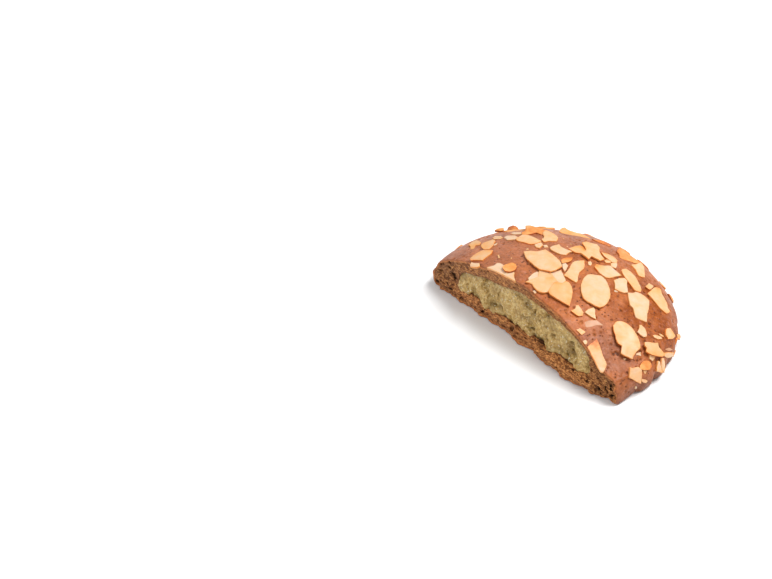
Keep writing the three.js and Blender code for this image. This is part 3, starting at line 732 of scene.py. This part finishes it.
def make_dough():
    axes = grid_axes(*DOUGH_BOX, DOUGH_VOXEL)
    x, y, z = axes
    whole = dough_field(x, y, z)
    face = dough_cut(x, z) + CRUMB_RELIEF * crag_share(z) * face_lumps(x, z, CRUMB_RELIEF_SIZE)
    field = smooth_max(whole, face - y, CUT_ROUND)
    field = np.maximum(field, PASTE_GAP - paste_field(x, y, z))
    near = int(np.searchsorted(y.ravel(), CUT_Y + CRUMB_DEPTH + CRAG_DEPTH))
    slab_y = y[:, :near]
    skin = smooth_step(-whole[:, :near], *CRUMB_SKIN)
    closed = 1 - crumb_openness(x, z) * skin * smooth_fall(slab_y - face, *CRUMB_FADE)
    fine = pores(x / PORE_STRETCH, slab_y, z, **FINE_PORES) - closed * FINE_CLOSING
    coarse = pores(x / PORE_STRETCH, slab_y, z + PORE_LEAN * x, **COARSE_PORES) - closed * COARSE_CLOSING
    field[:, :near] = np.maximum(field[:, :near], np.maximum(fine, coarse))
    carve_balls(field, axes, [cut_hole(*hole) for hole in CUT_HOLES] + skin_pits())
    points, faces = field_surface(field, axes, DOUGH_VOXEL, DOUGH_ADAPTIVITY)
    place = points.T
    depth = -dough_field(*place)
    behind = place[1] - dough_cut(place[0], place[2])
    near_cut = smooth_fall(behind, *CUT_FADE)
    cut = smooth_step(depth, *CUT_DEPTH) * near_cut
    beside_paste = smooth_fall(paste_field(*place), *SHADE_BY_PASTE_END)
    # Point values for the material: the cut, the rind and a darker band under the skin, and painted shade in
    # the cut's hollows, in the skin's pits and along the crumb beside the paste
    attributes = {
        "cut": cut,
        "hollow_shade": smooth_step(behind, *HOLLOW_SHADE_DEPTH) * cut,
        "pit_shade": smooth_step(depth, *PIT_DEPTH) * (1 - near_cut * smooth_step(depth, *PIT_END)),
        "rind": smooth_fall(depth, *RIND_END) * cut,
        "under": smooth_step(depth, *UNDER_DEPTH) * smooth_fall(depth, *UNDER_END) * cut,
        "shade_by_paste": beside_paste * smooth_step(place[2], *SHADE_BY_PASTE_HEIGHT) * cut,
    }
    return add_piece("dough", points, faces, "crust", attributes)


# Almond paste with curds at the cut
def paste_pits(x, z):
    """Depth of the soft pits in the paste's face."""
    depth = 0.0
    for across, down, half_width, half_height, deepest in PASTE_HOLES:
        spot = cut_spot((across, down))
        squared = ((x - spot[0]) / half_width) ** 2 + ((z - spot[2]) / half_height) ** 2
        depth = depth + deepest * np.exp(-squared)
    return depth


def paste_relief(x, y, z):
    """How far the paste's face lies behind its curds' tops: curds, clots on them and grains on those."""
    warp = CURD_WARP * lumps(x, y, z, CURD_WARP_SIZE)
    relief = paste_pits(x, z)
    for layer in (CURDS, CLOTS, GRAINS):
        distance = soft_distance(x + warp, y, z - warp, layer["size"], layer["blend"])
        relief = relief + layer["height"] * (distance / layer["size"]) ** 2
    return relief


def make_paste():
    axes = grid_axes(*PASTE_BOX, PASTE_VOXEL)
    x, y, z = axes
    body = paste_field(x, y, z)
    near = int(np.searchsorted(y.ravel(), CUT_Y + FACE_DEPTH))
    slab_y = y[:, :near]
    field = np.maximum(body, paste_cut(x, z) - y)
    low_side = smooth_fall(z, *LOW_PASTE)
    face = paste_cut(x, z) - slab_y + paste_relief(x, slab_y, z) - FACE_LEVEL - LOW_BULGE * low_side
    rare = face_lumps(x, np.zeros_like(x), LOWER_GAP_SIZE) - LOWER_GAP_RARITY
    gap = LOWER_GAP * np.maximum(0, rare)
    rim = body[:, :near] - smooth_fall(slab_y, *FACE_FADE) * (RIM_SWELL + low_side * (LOW_RIM_SWELL - gap))
    field[:, :near] = np.maximum(rim, face)
    points, faces = field_surface(field, axes, PASTE_VOXEL, PASTE_ADAPTIVITY)
    place = points.T
    roof = dome_height(place[0], place[1]) - UPPER_LAYER + UPPER_LAYER_LEAN * place[0] - place[2]
    # Point values for the material: painted shade in the valleys between the curds, and as edge, painted
    # shadow along the paste's top under the upper crust
    attributes = {
        "valley_shade": smooth_step(paste_relief(*place), *VALLEY_SHADE),
        "edge": smooth_fall(roof, *CRUST_SHADOW_REACH),
    }
    return add_piece("almond_paste", points, faces, "filling", attributes)


# Almond flakes and splinters as one joined mesh
def skin_normal(place):
    """Outward direction of the skin at a place, from small steps in the field."""
    steps = NORMAL_STEP * np.eye(3)
    slope = dough_field(*(place + steps).T) - dough_field(*(place - steps).T)
    return slope / np.linalg.norm(slope)


def pixel_way(pixel):
    """Direction from the camera through a pixel of the picture."""
    way = sight_line(pixel)
    return way / np.linalg.norm(way)


def pixel_place(pixel):
    """Place on the skin that a pixel shows, or the skin's nearest place to its line of sight."""
    way = pixel_way(pixel)
    reach = 2 * FOOT_RADIUS
    distances = np.arange(CAMERA_DISTANCE - reach, CAMERA_DISTANCE + reach, SIGHT_STEP)
    sight = CAMERA_PLACE + np.outer(distances, way)
    field = dough_field(*sight.T)
    inside = field < 0
    nearest = np.argmax(inside) if inside.any() else np.argmin(field)
    place = sight[nearest]
    return place - skin_normal(place) * field[nearest]


def side_place(angle, height):
    """Place on the side wall at an angle and a height."""
    distances = np.arange(0, 2 * FOOT_RADIUS, WALL_STEP)
    spots = np.outer(distances, level_way(angle)) + np.array([0.0, 0.0, height])
    return spots[np.argmax(dough_field(*spots.T) >= 0)]


class Sheet:
    """A flake's curved upper side over its seat on the skin."""

    def __init__(self, place, normal, heading, layer, lift):
        along = heading - normal * heading.dot(normal)
        self.place = place
        self.normal = normal
        self.along = along / np.linalg.norm(along)
        self.across = np.cross(normal, self.along)
        self.base = FLAKE_LAYER * layer - FLAKE_SINK
        self.lift = lift
        self.half = THIN_BELOW

    def thickness(self):
        return FLAKE_THICKNESS * np.clip(self.half / THIN_BELOW, THINNEST, 1)

    def rise(self, u, v):
        shade = (u * SHADE_WAY.dot(self.along) + v * SHADE_WAY.dot(self.across)) / self.half
        raised = self.lift * shade * np.abs(shade) * np.where(shade > 0, 1, -FAR_LIFT)
        return self.base + raised - (u * u + v * v) / (2 * FLAKE_CONFORM)

    def point(self, u, v, height):
        up = self.rise(u, v) + height
        return self.place + np.outer(u, self.along) + np.outer(v, self.across) + np.outer(up, self.normal)

    def seen_at(self, pixel):
        """Where the sheet's upper side shows at a pixel."""
        way = pixel_way(pixel)
        u = 0.0
        v = 0.0
        for _ in range(SIGHT_ROUNDS):
            height = self.rise(u, v) + self.thickness()
            distance = ((self.place - CAMERA_PLACE).dot(self.normal) + height) / way.dot(self.normal)
            spot = CAMERA_PLACE + distance * way - self.place
            u = spot.dot(self.along)
            v = spot.dot(self.across)
        return u, v


def facing_normal(normal):
    """The skin's direction, leaned to the viewer where a flake would be seen edge on."""
    facing = normal.dot(VIEW_BACK)
    if facing >= LEAST_FACING:
        return normal
    aside = normal - VIEW_BACK * facing
    aside = aside / np.linalg.norm(aside)
    return VIEW_BACK * LEAST_FACING + aside * math.sqrt(1 - LEAST_FACING ** 2)


def rounded_outline(corners):
    """Evenly spaced points along an outline that bends at blunt corners and breaks at sharp ones."""
    before = np.roll(corners, 1, axis=0)
    after = np.roll(corners, -1, axis=0)
    incoming = corners - before
    outgoing = after - corners
    turn = np.arctan2(np.cross(incoming, outgoing), np.einsum("ij,ij->i", incoming, outgoing))
    blunt = np.abs(turn) < SHARP_TURN
    through = after - before
    through = through / np.linalg.norm(through, axis=1, keepdims=True)
    points = []
    for index, edge in enumerate(outgoing):
        following = (index + 1) % len(corners)
        length = np.linalg.norm(edge)
        leave = through[index] * length if blunt[index] else edge
        arrive = through[following] * length if blunt[following] else edge
        steps = max(2, round(length / FLAKE_STEP))
        share = (np.arange(steps) / steps)[:, None]
        rest = 1 - share
        start = corners[index] * rest ** 2 * (1 + 2 * share)
        end = corners[following] * share ** 2 * (1 + 2 * rest)
        points.append(start + end + leave * share * rest ** 2 - arrive * share ** 2 * rest)
    return np.concatenate(points)


def outline_middle(outline):
    """Middle of the area inside an outline."""
    after = np.roll(outline, -1, axis=0)
    pieces = np.cross(outline, after)
    return ((outline + after) * pieces[:, None]).sum(axis=0) / (3 * pieces.sum())


# Rings of a flake from its top middle to its under middle, as share of the outline, height and rim
FLAKE_RINGS = (
    (0.0, 1.0, 0.0),
    (0.4, 1.0, 0.0),
    (0.75, 1.0, 0.05),
    (0.93, 1.0, 0.3),
    (0.975, 0.99, 0.6),
    (0.995, 0.93, 0.9),
    (1.0, 0.75, 1.0),
    (0.995, 0.3, 1.0),
    (0.97, 0.0, 1.0),
    (0.5, 0.0, 1.0),
    (0.0, 0.0, 1.0),
)


def triangles(*corners):
    return np.stack(np.broadcast_arrays(*corners), axis=1)


def flake_mesh(number, sheet, corners, toast, veil=0.0):
    """Points, triangles and point values of one flake from its outline on its sheet."""
    outline = rounded_outline(corners)
    if np.cross(outline, np.roll(outline, -1, axis=0)).sum() < 0:
        outline = outline[::-1]
    count = len(outline)
    ragged = lumps(*outline.T, np.full(count, RAGGED_APART * number), FLAKE_RAGGED_SIZE)
    middle = outline_middle(outline)
    spokes = outline - middle
    spokes = spokes * (1 + FLAKE_RAGGED * ragged / np.linalg.norm(spokes, axis=1))[:, None]
    toast_way = 2 * math.pi * grid_share(number, *TOAST_SEED)
    rings = [middle + spokes[:count if share else 1] * share for share, _, _ in FLAKE_RINGS]
    u, v = np.concatenate(rings).T
    _, height, rim = np.repeat(FLAKE_RINGS, [len(ring) for ring in rings], axis=0).T
    points = sheet.point(u, v, sheet.thickness() * height)
    slope = (u * math.cos(toast_way) + v * math.sin(toast_way)) / sheet.half
    values = {
        "rim": rim,
        "toast": toast + TOAST_SLOPE * slope,
        "along": u + FIBRE_APART * number,
        "across": v,
        "veil": np.full_like(u, veil),
    }
    starts = 1 + count * np.arange(len(FLAKE_RINGS) - 2)
    here = np.arange(count)
    after = (here + 1) % count
    faces = [triangles(0, starts[0] + here, starts[0] + after)]
    for start, below in zip(starts[:-1], starts[1:]):
        faces.append(triangles(start + here, below + here, below + after))
        faces.append(triangles(start + here, below + after, start + after))
    faces.append(triangles(starts[-1] + here, len(points) - 1, starts[-1] + after))
    return points, np.concatenate(faces), values


def seen_flakes():
    """Flakes whose corners are pixels of the picture."""
    veiled = [(flake, 0.0) for flake in SEEN_FLAKES] + [(flake, SUNK_VEIL) for flake in SUNK_FLAKES]
    for (toast, *seat, corners), veil in veiled:
        layer, lift = seat or (0, 0.0)
        pixels = np.reshape(corners, (-1, 2))
        place = pixel_place(pixels.mean(axis=0))
        sheet = Sheet(place, facing_normal(skin_normal(place)), VIEW_RIGHT, layer, lift)
        flat = np.array([sheet.seen_at(pixel) for pixel in pixels])
        sheet.half = np.linalg.norm(flat - flat.mean(axis=0), axis=1).max()
        yield sheet, np.array([sheet.seen_at(pixel) for pixel in pixels]), toast, veil


def oval_flake(place, heading, length, width, share, toast):
    """Oval flake that narrows to one end and is broken off straight at the other."""
    turns = np.arange(OVAL_CORNERS) * 2 * math.pi / OVAL_CORNERS
    along = np.maximum(length / 2 * np.cos(turns), -share * length / 2)
    across = width / 2 * np.sin(turns) * (1 - OVAL_TAPER * np.cos(turns))
    sheet = Sheet(place, skin_normal(place), heading, 0, 0.0)
    sheet.half = length / 2
    return sheet, np.stack([along, across], axis=1), toast


def side_flakes():
    for degrees, height, heading, length, width, toast in SIDE_FLAKES:
        turn = math.radians(heading)
        angle = math.radians(degrees)
        way = level_way(angle + math.pi / 2) * math.cos(turn) + np.array([0.0, 0.0, math.sin(turn)])
        yield oval_flake(side_place(angle, height), way, length, width, SIDE_SHARE, toast)


def splinters():
    draws = seeded_draws(SPLINTER_SEED)
    for _ in range(SPLINTERS):
        angle = math.radians(draw_between(draws, SPLINTER_ANGLE))
        place = top_place(angle, draw_between(draws, SPLINTER_RADIUS))
        way = level_way(math.radians(draw_between(draws, SPLINTER_TURN)))
        length = draw_between(draws, SPLINTER_LENGTH)
        slim = draw_between(draws, SPLINTER_SLIM)
        share = draw_between(draws, SPLINTER_SHARE)
        yield oval_flake(place, way, length, length * slim, share, draw_between(draws, SPLINTER_TOAST))


def add_hot_spots(points, toast):
    """Browns the flakes round each spot."""
    for across, down, reach, strength in HOT_SPOTS:
        apart = np.linalg.norm(points - pixel_place((across, down)), axis=1)
        toast = toast + strength * np.exp(-(apart / reach) ** 2)
    return toast


def make_flakes():
    flakes = itertools.chain(seen_flakes(), side_flakes(), splinters())
    points, faces, values = zip(*(flake_mesh(number, *flake) for number, flake in enumerate(flakes)))
    starts = np.cumsum([0] + [len(part) for part in points])
    points = np.concatenate(points)
    faces = np.concatenate([part + start for part, start in zip(faces, starts)])
    attributes = {title: np.concatenate([part[title] for part in values]) for title in values[0]}
    attributes["toast"] = add_hot_spots(points, attributes["toast"])
    return add_piece("almond_flakes", points, faces, "crust", attributes)


# Noises of the materials: width, detail and roughness
NOISES = {
    "sway": (9.0, 3.0, 0.55),
    "glaze_patches": (6.0, 4.0, 0.55),
    "mottle": (7.0, 4.0, 0.6),
    "deep": (2.2, 5.0, 0.65),
    "grain": (0.9, 4.0, 0.7),
    "bloom": (1.5, 3.0, 0.6),
    "speck_chance": (3.0, 2.0, 0.55),
    "skin_rough": (2.0, 4.0, 0.55),
    "ripple": (1.4, 5.0, 0.6),
    "crumb": (0.6, 3.0, 0.65),
    "crumb_patches": (3.0, 3.0, 0.6),
    "pore_chance": (2.4, 2.0, 0.5),
    "paste": (1.2, 3.0, 0.55),
    "paste_patches": (5.0, 2.0, 0.55),
    "paste_rough": (0.6, 2.0, 0.55),
    "crystal_chance": (2.5, 2.0, 0.55),
    "fibre": (0.9, 3.0, 0.6),
    "cloud": (4.0, 3.0, 0.6),
    "floor": (60.0, 2.0, 0.55),
}
# Widths of the cells that hold one round spot each
SPOTS = {"speck": 1.5, "pore": 0.9, "crystal": 1.1, "granule": 0.9, "fine_granule": 0.5}
# How a value is spread: the two values it runs between, and the two that it is given there
SPANS = {
    "sway": (0.0, 1.0, -14.0, 14.0),
    "warm": (-14.0, 8.0, 0.0, 1.0),
    "warm_height": (3.0, 11.0, 0.25, 1.0),
    "pale": (5.0, 12.0, 1.0, 0.0),
    "pale_cooling": (0.0, 1.0, 1.0, 0.5),
    "pale_painted_shade": (0.0, 1.0, 1.0, 0.91),
    "glaze": (12.0, 25.0, 1.0, 0.0),
    "glaze_patches": (0.3, 0.5, 0.0, 1.0),
    "grain": (0.25, 0.75, 0.7, 1.22),
    "bloom": (0.52, 0.72, 0.0, 0.4),
    "foot": (0.5, 11.0, 0.66, 1.0),
    "speck": (0.14, 0.27, 1.0, 0.0),
    "speck_chance": (0.4, 0.56, 0.0, 1.0),
    "gloss": (0.0, 2.0, 0.45, 0.15),
    "skin_rough": (0.3, 0.7, 0.34, 0.6),
    "crumb_patches": (0.3, 0.7, 0.84, 1.14),
    "band_tone_and_light": (4.5, 9.0, 1.2, 0.92),
    "end_shade": (33.0, 40.0, 1.0, 0.76),
    "pore": (0.18, 0.36, 1.0, 0.0),
    "pore_chance": (0.36, 0.52, 0.0, 1.0),
    "paste_patches": (0.3, 0.7, 0.9, 1.1),
    "paste_rough": (0.3, 0.7, 0.3, 0.56),
    "crystal": (0.2, 0.32, 1.0, 0.0),
    "crystal_chance": (0.47, 0.6, 0.0, 1.0),
    "cloud_toast": (0.3, 0.7, -0.16, 0.16),
    "streak": (0.3, 0.7, 0.96, 1.03),
    "darker_leftward": (-32.0, -22.0, 0.9, 1.0),
    "flake_rough": (0.3, 0.7, 0.42, 0.6),
}
# Colours as screen values of 0 to 255: those of each ramp by their place on it
RAMPS = {
    "mauve": {0.3: (138, 78, 46), 0.7: (180, 108, 68)},
    "orange": {0.3: (148, 76, 30), 0.7: (186, 106, 52)},
    "deep": {0.3: (112, 48, 8), 0.7: (166, 86, 28)},
    "crumb": {0.34: (82, 42, 16), 0.5: (164, 104, 56), 0.66: (222, 156, 92)},
    "paste": {0.3: (166, 130, 68), 0.5: (190, 155, 87), 0.7: (214, 187, 126)},
    "toast": {
        0.0: (214, 184, 154),
        0.3: (216, 171, 125),
        0.6: (222, 154, 84),
        0.85: (206, 116, 42),
        1.0: (156, 78, 26),
    },
    "floor": {0.3: (242, 243, 244), 0.7: (246, 247, 248)},
}
# Colours laid over a colour, with strength and colour: the thing's own tints, and painted sheen, shade and
# glints where marked
TINTS_AND_PAINTED_LIGHT = {
    # painted sheen on the skin
    "bloom": (1.0, (196, 126, 100)),
    # painted shade in the skin's pinholes and pits, and in the crumb's small pores
    "speck": (0.8, (70, 34, 20)),
    "pore": (0.7, (66, 33, 14)),
    "under": (0.3, (92, 50, 24)),
    # painted shade beside the paste and in the crumb's hollows
    "shade_by_paste": (0.4, (96, 58, 26)),
    "hollow_shade": (0.85, (50, 24, 10)),
    "rind": (0.9, (206, 124, 68)),
    # painted shade in the paste's valleys, and as edge, painted shadow under the upper crust
    "valley_shade": (0.6, (104, 80, 34)),
    "edge": (0.45, (128, 92, 44)),
    # bright crystals of the paste, also painted glints
    "crystal": (0.75, (244, 236, 208)),
    "veil": (1.0, (184, 120, 78)),
}
SCREEN_WHITE = 255


def srgb(colour):
    """A screen colour as the shader's sockets take it."""
    return (*Color([value / SCREEN_WHITE for value in colour]).from_srgb_to_scene_linear(), 1.0)


class Look:
    """A material whose nodes are added one by one and joined by their sockets."""

    def __init__(self, name):
        self.material = bpy.data.materials.new(name)
        self.material.use_nodes = True
        self.tree = self.material.node_tree
        self.place = self.stretched(self.add("TexCoord", "Object", {}), (1 / MM, 1 / MM, 1 / MM))

    def add(self, kind, output, inputs, **settings):
        """Adds a node and gives one of its outputs."""
        node = self.tree.nodes.new("ShaderNode" + kind)
        for name, value in settings.items():
            setattr(node, name, value)
        self.fill(node, inputs)
        return node.outputs[output]

    def fill(self, node, inputs):
        for name, value in inputs.items():
            if isinstance(value, bpy.types.NodeSocket):
                self.tree.links.new(value, node.inputs[name])
            else:
                node.inputs[name].default_value = value

    def finished(self, inputs):
        self.fill(self.tree.nodes["Principled BSDF"], inputs)
        return self.material

    def attribute(self, name):
        return self.add("Attribute", "Fac", {}, attribute_name=name)

    def along(self, axis):
        return self.add("SeparateXYZ", axis, {0: self.place})

    def stretched(self, place, factors):
        return self.add("VectorMath", "Vector", {0: place, 1: factors}, operation="MULTIPLY")

    def distance(self, place):
        return self.add("VectorMath", "Value", {0: self.place, 1: place}, operation="DISTANCE")

    def math(self, operation, first, second):
        return self.add("Math", 0, {0: first, 1: second}, operation=operation)

    def sum(self, first, second):
        return self.math("ADD", first, second)

    def times(self, first, second):
        return self.math("MULTIPLY", first, second)

    def spread(self, value, name):
        titles = ("From Min", "From Max", "To Min", "To Max")
        return self.add("MapRange", "Result", {"Value": value, **dict(zip(titles, SPANS[name]))})

    def noise(self, name, place=None):
        titles = ("Scale", "Detail", "Roughness")
        width, *texture = NOISES[name]
        inputs = {"Vector": place or self.place, **dict(zip(titles, (1 / width, *texture)))}
        return self.add("TexNoise", "Fac", inputs)

    def varied(self, name, place=None):
        """A noise spread by the span of the same name."""
        return self.spread(self.noise(name, place), name)

    def cells(self, output, width, place=None):
        return self.add("TexVoronoi", output, {"Vector": place or self.place, "Scale": 1 / width})

    def spots(self, name, place=None):
        return self.cells("Distance", SPOTS[name], place)

    def dots(self, name, place=None):
        """Round dots, strewn only where a broad noise is high."""
        return self.times(self.spread(self.spots(name, place), name), self.varied(name + "_chance", place))

    def mix(self, share, first, second, blend="MIX"):
        return self.add("Mix", 2, {0: share, 6: first, 7: second}, data_type="RGBA", blend_type=blend)

    # A colour times a factor: mostly the thing's own tone, in some uses painted shade or painted light
    def shade(self, colour, factor):
        return self.mix(1.0, colour, factor, "MULTIPLY")

    def lay_tint_or_light(self, colour, name, share=None):
        """Lays a tint, painted shade or painted sheen over a colour, as far as the share or else the
        attribute of the same name says.
        """
        strength, tint = TINTS_AND_PAINTED_LIGHT[name]
        return self.mix(self.times(share or self.attribute(name), strength), colour, srgb(tint))

    def ramp(self, value, name):
        ramp = self.add("ValToRGB", "Color", {"Fac": value})
        elements = ramp.node.color_ramp.elements
        while len(elements) < len(RAMPS[name]):
            elements.new(1.0)
        for element, (position, colour) in zip(elements, RAMPS[name].items()):
            element.position = position
            element.color = srgb(colour)
        return ramp

    def bump(self, height, depth):
        return self.add("Bump", "Normal", {"Height": height, "Distance": depth * MM})


# Paler patch of skin by the right end of the cut, and patch at the far right where the glaze lies thickest
PALE_PLACE = (39.0, -6.0, 13.0)
GLAZE_PLACE = (32.0, 24.0, 16.0)
# The crumb lies in layers that run along the cut
CRUMB_LAYERS = (0.5, 1.0, 1.4)
CRUMB_ROUGHNESS = 0.85
DOUGH_BUMP = 0.3
SPECK_DEPTH = 0.6


def dough_skin(look):
    """Colour, specular level and dark specks of the skin, from mauve brown to orange brown along the cut,
    with painted sheen in patches and painted shade in its pinholes and pits, over the paler patch and towards
    the foot.
    """
    rightness = look.spread(look.sum(look.along("X"), look.varied("sway")), "warm")
    pale = look.spread(look.distance(PALE_PLACE), "pale")
    warm = look.times(rightness, look.spread(pale, "pale_cooling"))
    warm = look.times(warm, look.spread(look.along("Z"), "warm_height"))
    glaze = look.spread(look.distance(GLAZE_PLACE), "glaze")
    glaze = look.times(glaze, look.varied("glaze_patches"))
    mottle = look.noise("mottle")
    skin = look.mix(warm, look.ramp(mottle, "mauve"), look.ramp(mottle, "orange"))
    skin = look.mix(glaze, skin, look.ramp(look.noise("deep"), "deep"))
    skin = look.shade(skin, look.varied("grain"))
    # Painted sheen: pale pinkish patches where the skin's sheen shows
    skin = look.lay_tint_or_light(skin, "bloom", look.varied("bloom"))
    # Painted shade over the paler patch, where the key light falls strongly
    skin = look.shade(skin, look.spread(pale, "pale_painted_shade"))
    # Painted shade, darker towards the foot of the wall
    skin = look.shade(skin, look.spread(look.along("Z"), "foot"))
    # Painted shade in pinholes: dark specks in small dents, and in the pits carved into the skin
    speck = look.dots("speck")
    skin = look.lay_tint_or_light(skin, "speck", look.math("MAXIMUM", speck, look.attribute("pit_shade")))
    return skin, look.spread(look.sum(rightness, glaze), "gloss"), speck


def dough_crumb(look):
    """Colour and grain of the crumb: painted shade in its pores and hollows, beside the paste and at the ends
    of the cut, a lower band lighter partly by painted light, and orange along the skin.
    """
    layered = look.stretched(look.place, CRUMB_LAYERS)
    grain = look.noise("crumb", layered)
    crumb = look.shade(look.ramp(grain, "crumb"), look.varied("crumb_patches", layered))
    outward = look.math("ABSOLUTE", look.along("X"), 0.0)
    ends = look.spread(outward, "end_shade")
    # Lighter in the lower band, partly the lower layer's own tone and partly painted light; painted shade at
    # the two ends of the cut
    crumb = look.shade(crumb, look.times(look.spread(look.along("Z"), "band_tone_and_light"), ends))
    # Painted shade of small pores, as dark dots
    crumb = look.lay_tint_or_light(crumb, "pore", look.dots("pore", layered))
    # Tints of the band under the skin and of the rind; painted shade beside the paste and in the hollows
    for name in ("under", "shade_by_paste", "hollow_shade", "rind"):
        crumb = look.lay_tint_or_light(crumb, name)
    return crumb, grain


def dough_material():
    look = Look("baked_dough")
    cut = look.attribute("cut")
    skin, gloss, speck = dough_skin(look)
    crumb, grain = dough_crumb(look)
    roughness = {0: cut, 2: look.varied("skin_rough"), 3: CRUMB_ROUGHNESS}
    ripple = look.sum(look.noise("ripple"), look.times(grain, cut))
    ripple = look.math("SUBTRACT", ripple, look.times(speck, SPECK_DEPTH))
    return look.finished({
        "Base Color": look.mix(cut, skin, crumb),
        "Specular IOR Level": gloss,
        "Roughness": look.add("Mix", 0, roughness),
        "Normal": look.bump(ripple, DOUGH_BUMP),
    })


# Grains of the paste, each with its own tone: width and share of the tone
PASTE_TONES = ((0.9, 0.45), (0.5, 0.25))
PASTE_NOISE_SHARE = 0.3
FINE_GRANULE_SHARE = 0.6
PASTE_BUMP = 0.25
PASTE_GLOW = {
    "Subsurface Weight": 0.3,
    "Subsurface Radius": (1.0, 0.8, 0.45),
    "Subsurface Scale": 0.8 * MM,
}


def paste_material():
    look = Look("almond_paste")
    tone = look.times(look.noise("paste"), PASTE_NOISE_SHARE)
    for width, share in PASTE_TONES:
        tone = look.sum(tone, look.times(look.cells("Color", width), share))
    body = look.shade(look.ramp(tone, "paste"), look.varied("paste_patches"))
    # Painted shade in the valleys, and as edge, painted shadow under the upper crust
    for name in ("valley_shade", "edge"):
        body = look.lay_tint_or_light(body, name)
    # Bright crystals in the paste, their spots also standing in for painted glints
    crystal = look.dots("crystal")
    fine = look.times(look.spots("fine_granule"), FINE_GRANULE_SHARE)
    granules = look.sum(look.spots("granule"), fine)
    return look.finished({
        "Base Color": look.lay_tint_or_light(body, "crystal", crystal),
        "Roughness": look.varied("paste_rough"),
        "Normal": look.bump(look.math("SUBTRACT", crystal, granules), PASTE_BUMP),
        **PASTE_GLOW,
    })


# Almond: fibres run along each flake, and its rim is browner
FIBRE_STRETCH = (0.35, 1.0, 1.0)
RIM_POWER = 1.6
RIM_TOAST = 0.42
FLAKE_BUMP = 0.06
FLAKE_GLOW = {
    "Subsurface Weight": 0.5,
    "Subsurface Radius": (1.0, 0.7, 0.4),
    "Subsurface Scale": 1.2 * MM,
}


def flake_material():
    look = Look("toasted_almond")
    sides = {0: look.attribute("along"), 1: look.attribute("across")}
    flat = look.add("CombineXYZ", 0, sides)
    fibre = look.noise("fibre", look.stretched(flat, FIBRE_STRETCH))
    cloud = look.noise("cloud", flat)
    rim = look.math("POWER", look.attribute("rim"), RIM_POWER)
    toast = look.sum(look.attribute("toast"), look.times(rim, RIM_TOAST))
    toast = look.sum(toast, look.spread(cloud, "cloud_toast"))
    body = look.shade(look.ramp(toast, "toast"), look.spread(fibre, "streak"))
    # Flakes darker towards the left end of the biscuit
    body = look.shade(body, look.spread(look.along("X"), "darker_leftward"))
    return look.finished({
        "Base Color": look.lay_tint_or_light(body, "veil"),
        "Roughness": look.spread(cloud, "flake_rough"),
        "Normal": look.bump(fibre, FLAKE_BUMP),
        **FLAKE_GLOW,
    })


# Floor, light and camera, with the floor and the lights in metres
FLOOR_HALF = 4.0
FLOOR_ROUGHNESS = 0.9
WORLD_STRENGTH = 0.5
# Area lights: way to the light, size, power and colour
LIGHTS = {
    "key": ((0.3, 0.48, 1.1), 0.6, 17.0, (1.0, 0.99, 0.98)),
    "fill": ((-0.3, -0.8, 0.6), 1.0, 4.0, (1.0, 1.0, 1.0)),
}
LIGHT_DISTANCE = 1.2


def make_floor():
    mesh = bpy.data.meshes.new("floor")
    corners = [(-1, -1), (1, -1), (1, 1), (-1, 1)]
    mesh.from_pydata([(x * FLOOR_HALF, y * FLOOR_HALF, 0.0) for x, y in corners], [], [(0, 1, 2, 3)])
    look = Look("pale_floor")
    tint = look.ramp(look.noise("floor"), "floor")
    inputs = {"Base Color": tint, "Roughness": FLOOR_ROUGHNESS, "Specular IOR Level": 0.0}
    mesh.materials.append(look.finished(inputs))
    place_in_scene("floor", mesh)


def make_light():
    world = bpy.data.worlds.new("studio")
    world.use_nodes = True
    background = world.node_tree.nodes["Background"]
    background.inputs["Color"].default_value = (1.0, 1.0, 1.0, 1.0)
    background.inputs["Strength"].default_value = WORLD_STRENGTH
    bpy.context.scene.world = world
    bpy.context.scene.view_settings.view_transform = "Standard"
    for name, (way, size, power, colour) in LIGHTS.items():
        light = bpy.data.lights.new(name, "AREA")
        light.size = size
        light.energy = power
        light.color = colour
        lamp = place_in_scene(name, light)
        lamp.location = Vector(way).normalized() * LIGHT_DISTANCE
        lamp.rotation_euler = Vector(way).to_track_quat("Z", "Y").to_euler()


def make_camera():
    data = bpy.data.cameras.new("camera")
    data.lens = LENS
    data.sensor_width = SENSOR_WIDTH
    camera = place_in_scene("camera", data)
    turn = Matrix(np.stack([VIEW_RIGHT, VIEW_UP, VIEW_BACK], axis=1).tolist())
    camera.matrix_world = Matrix.Translation(Vector(CAMERA_PLACE * MM)) @ turn.to_4x4()
    bpy.context.scene.camera = camera


make_camera()
make_light()
make_floor()
make_dough().data.materials.append(dough_material())
make_paste().data.materials.append(paste_material())
make_flakes().data.materials.append(flake_material())
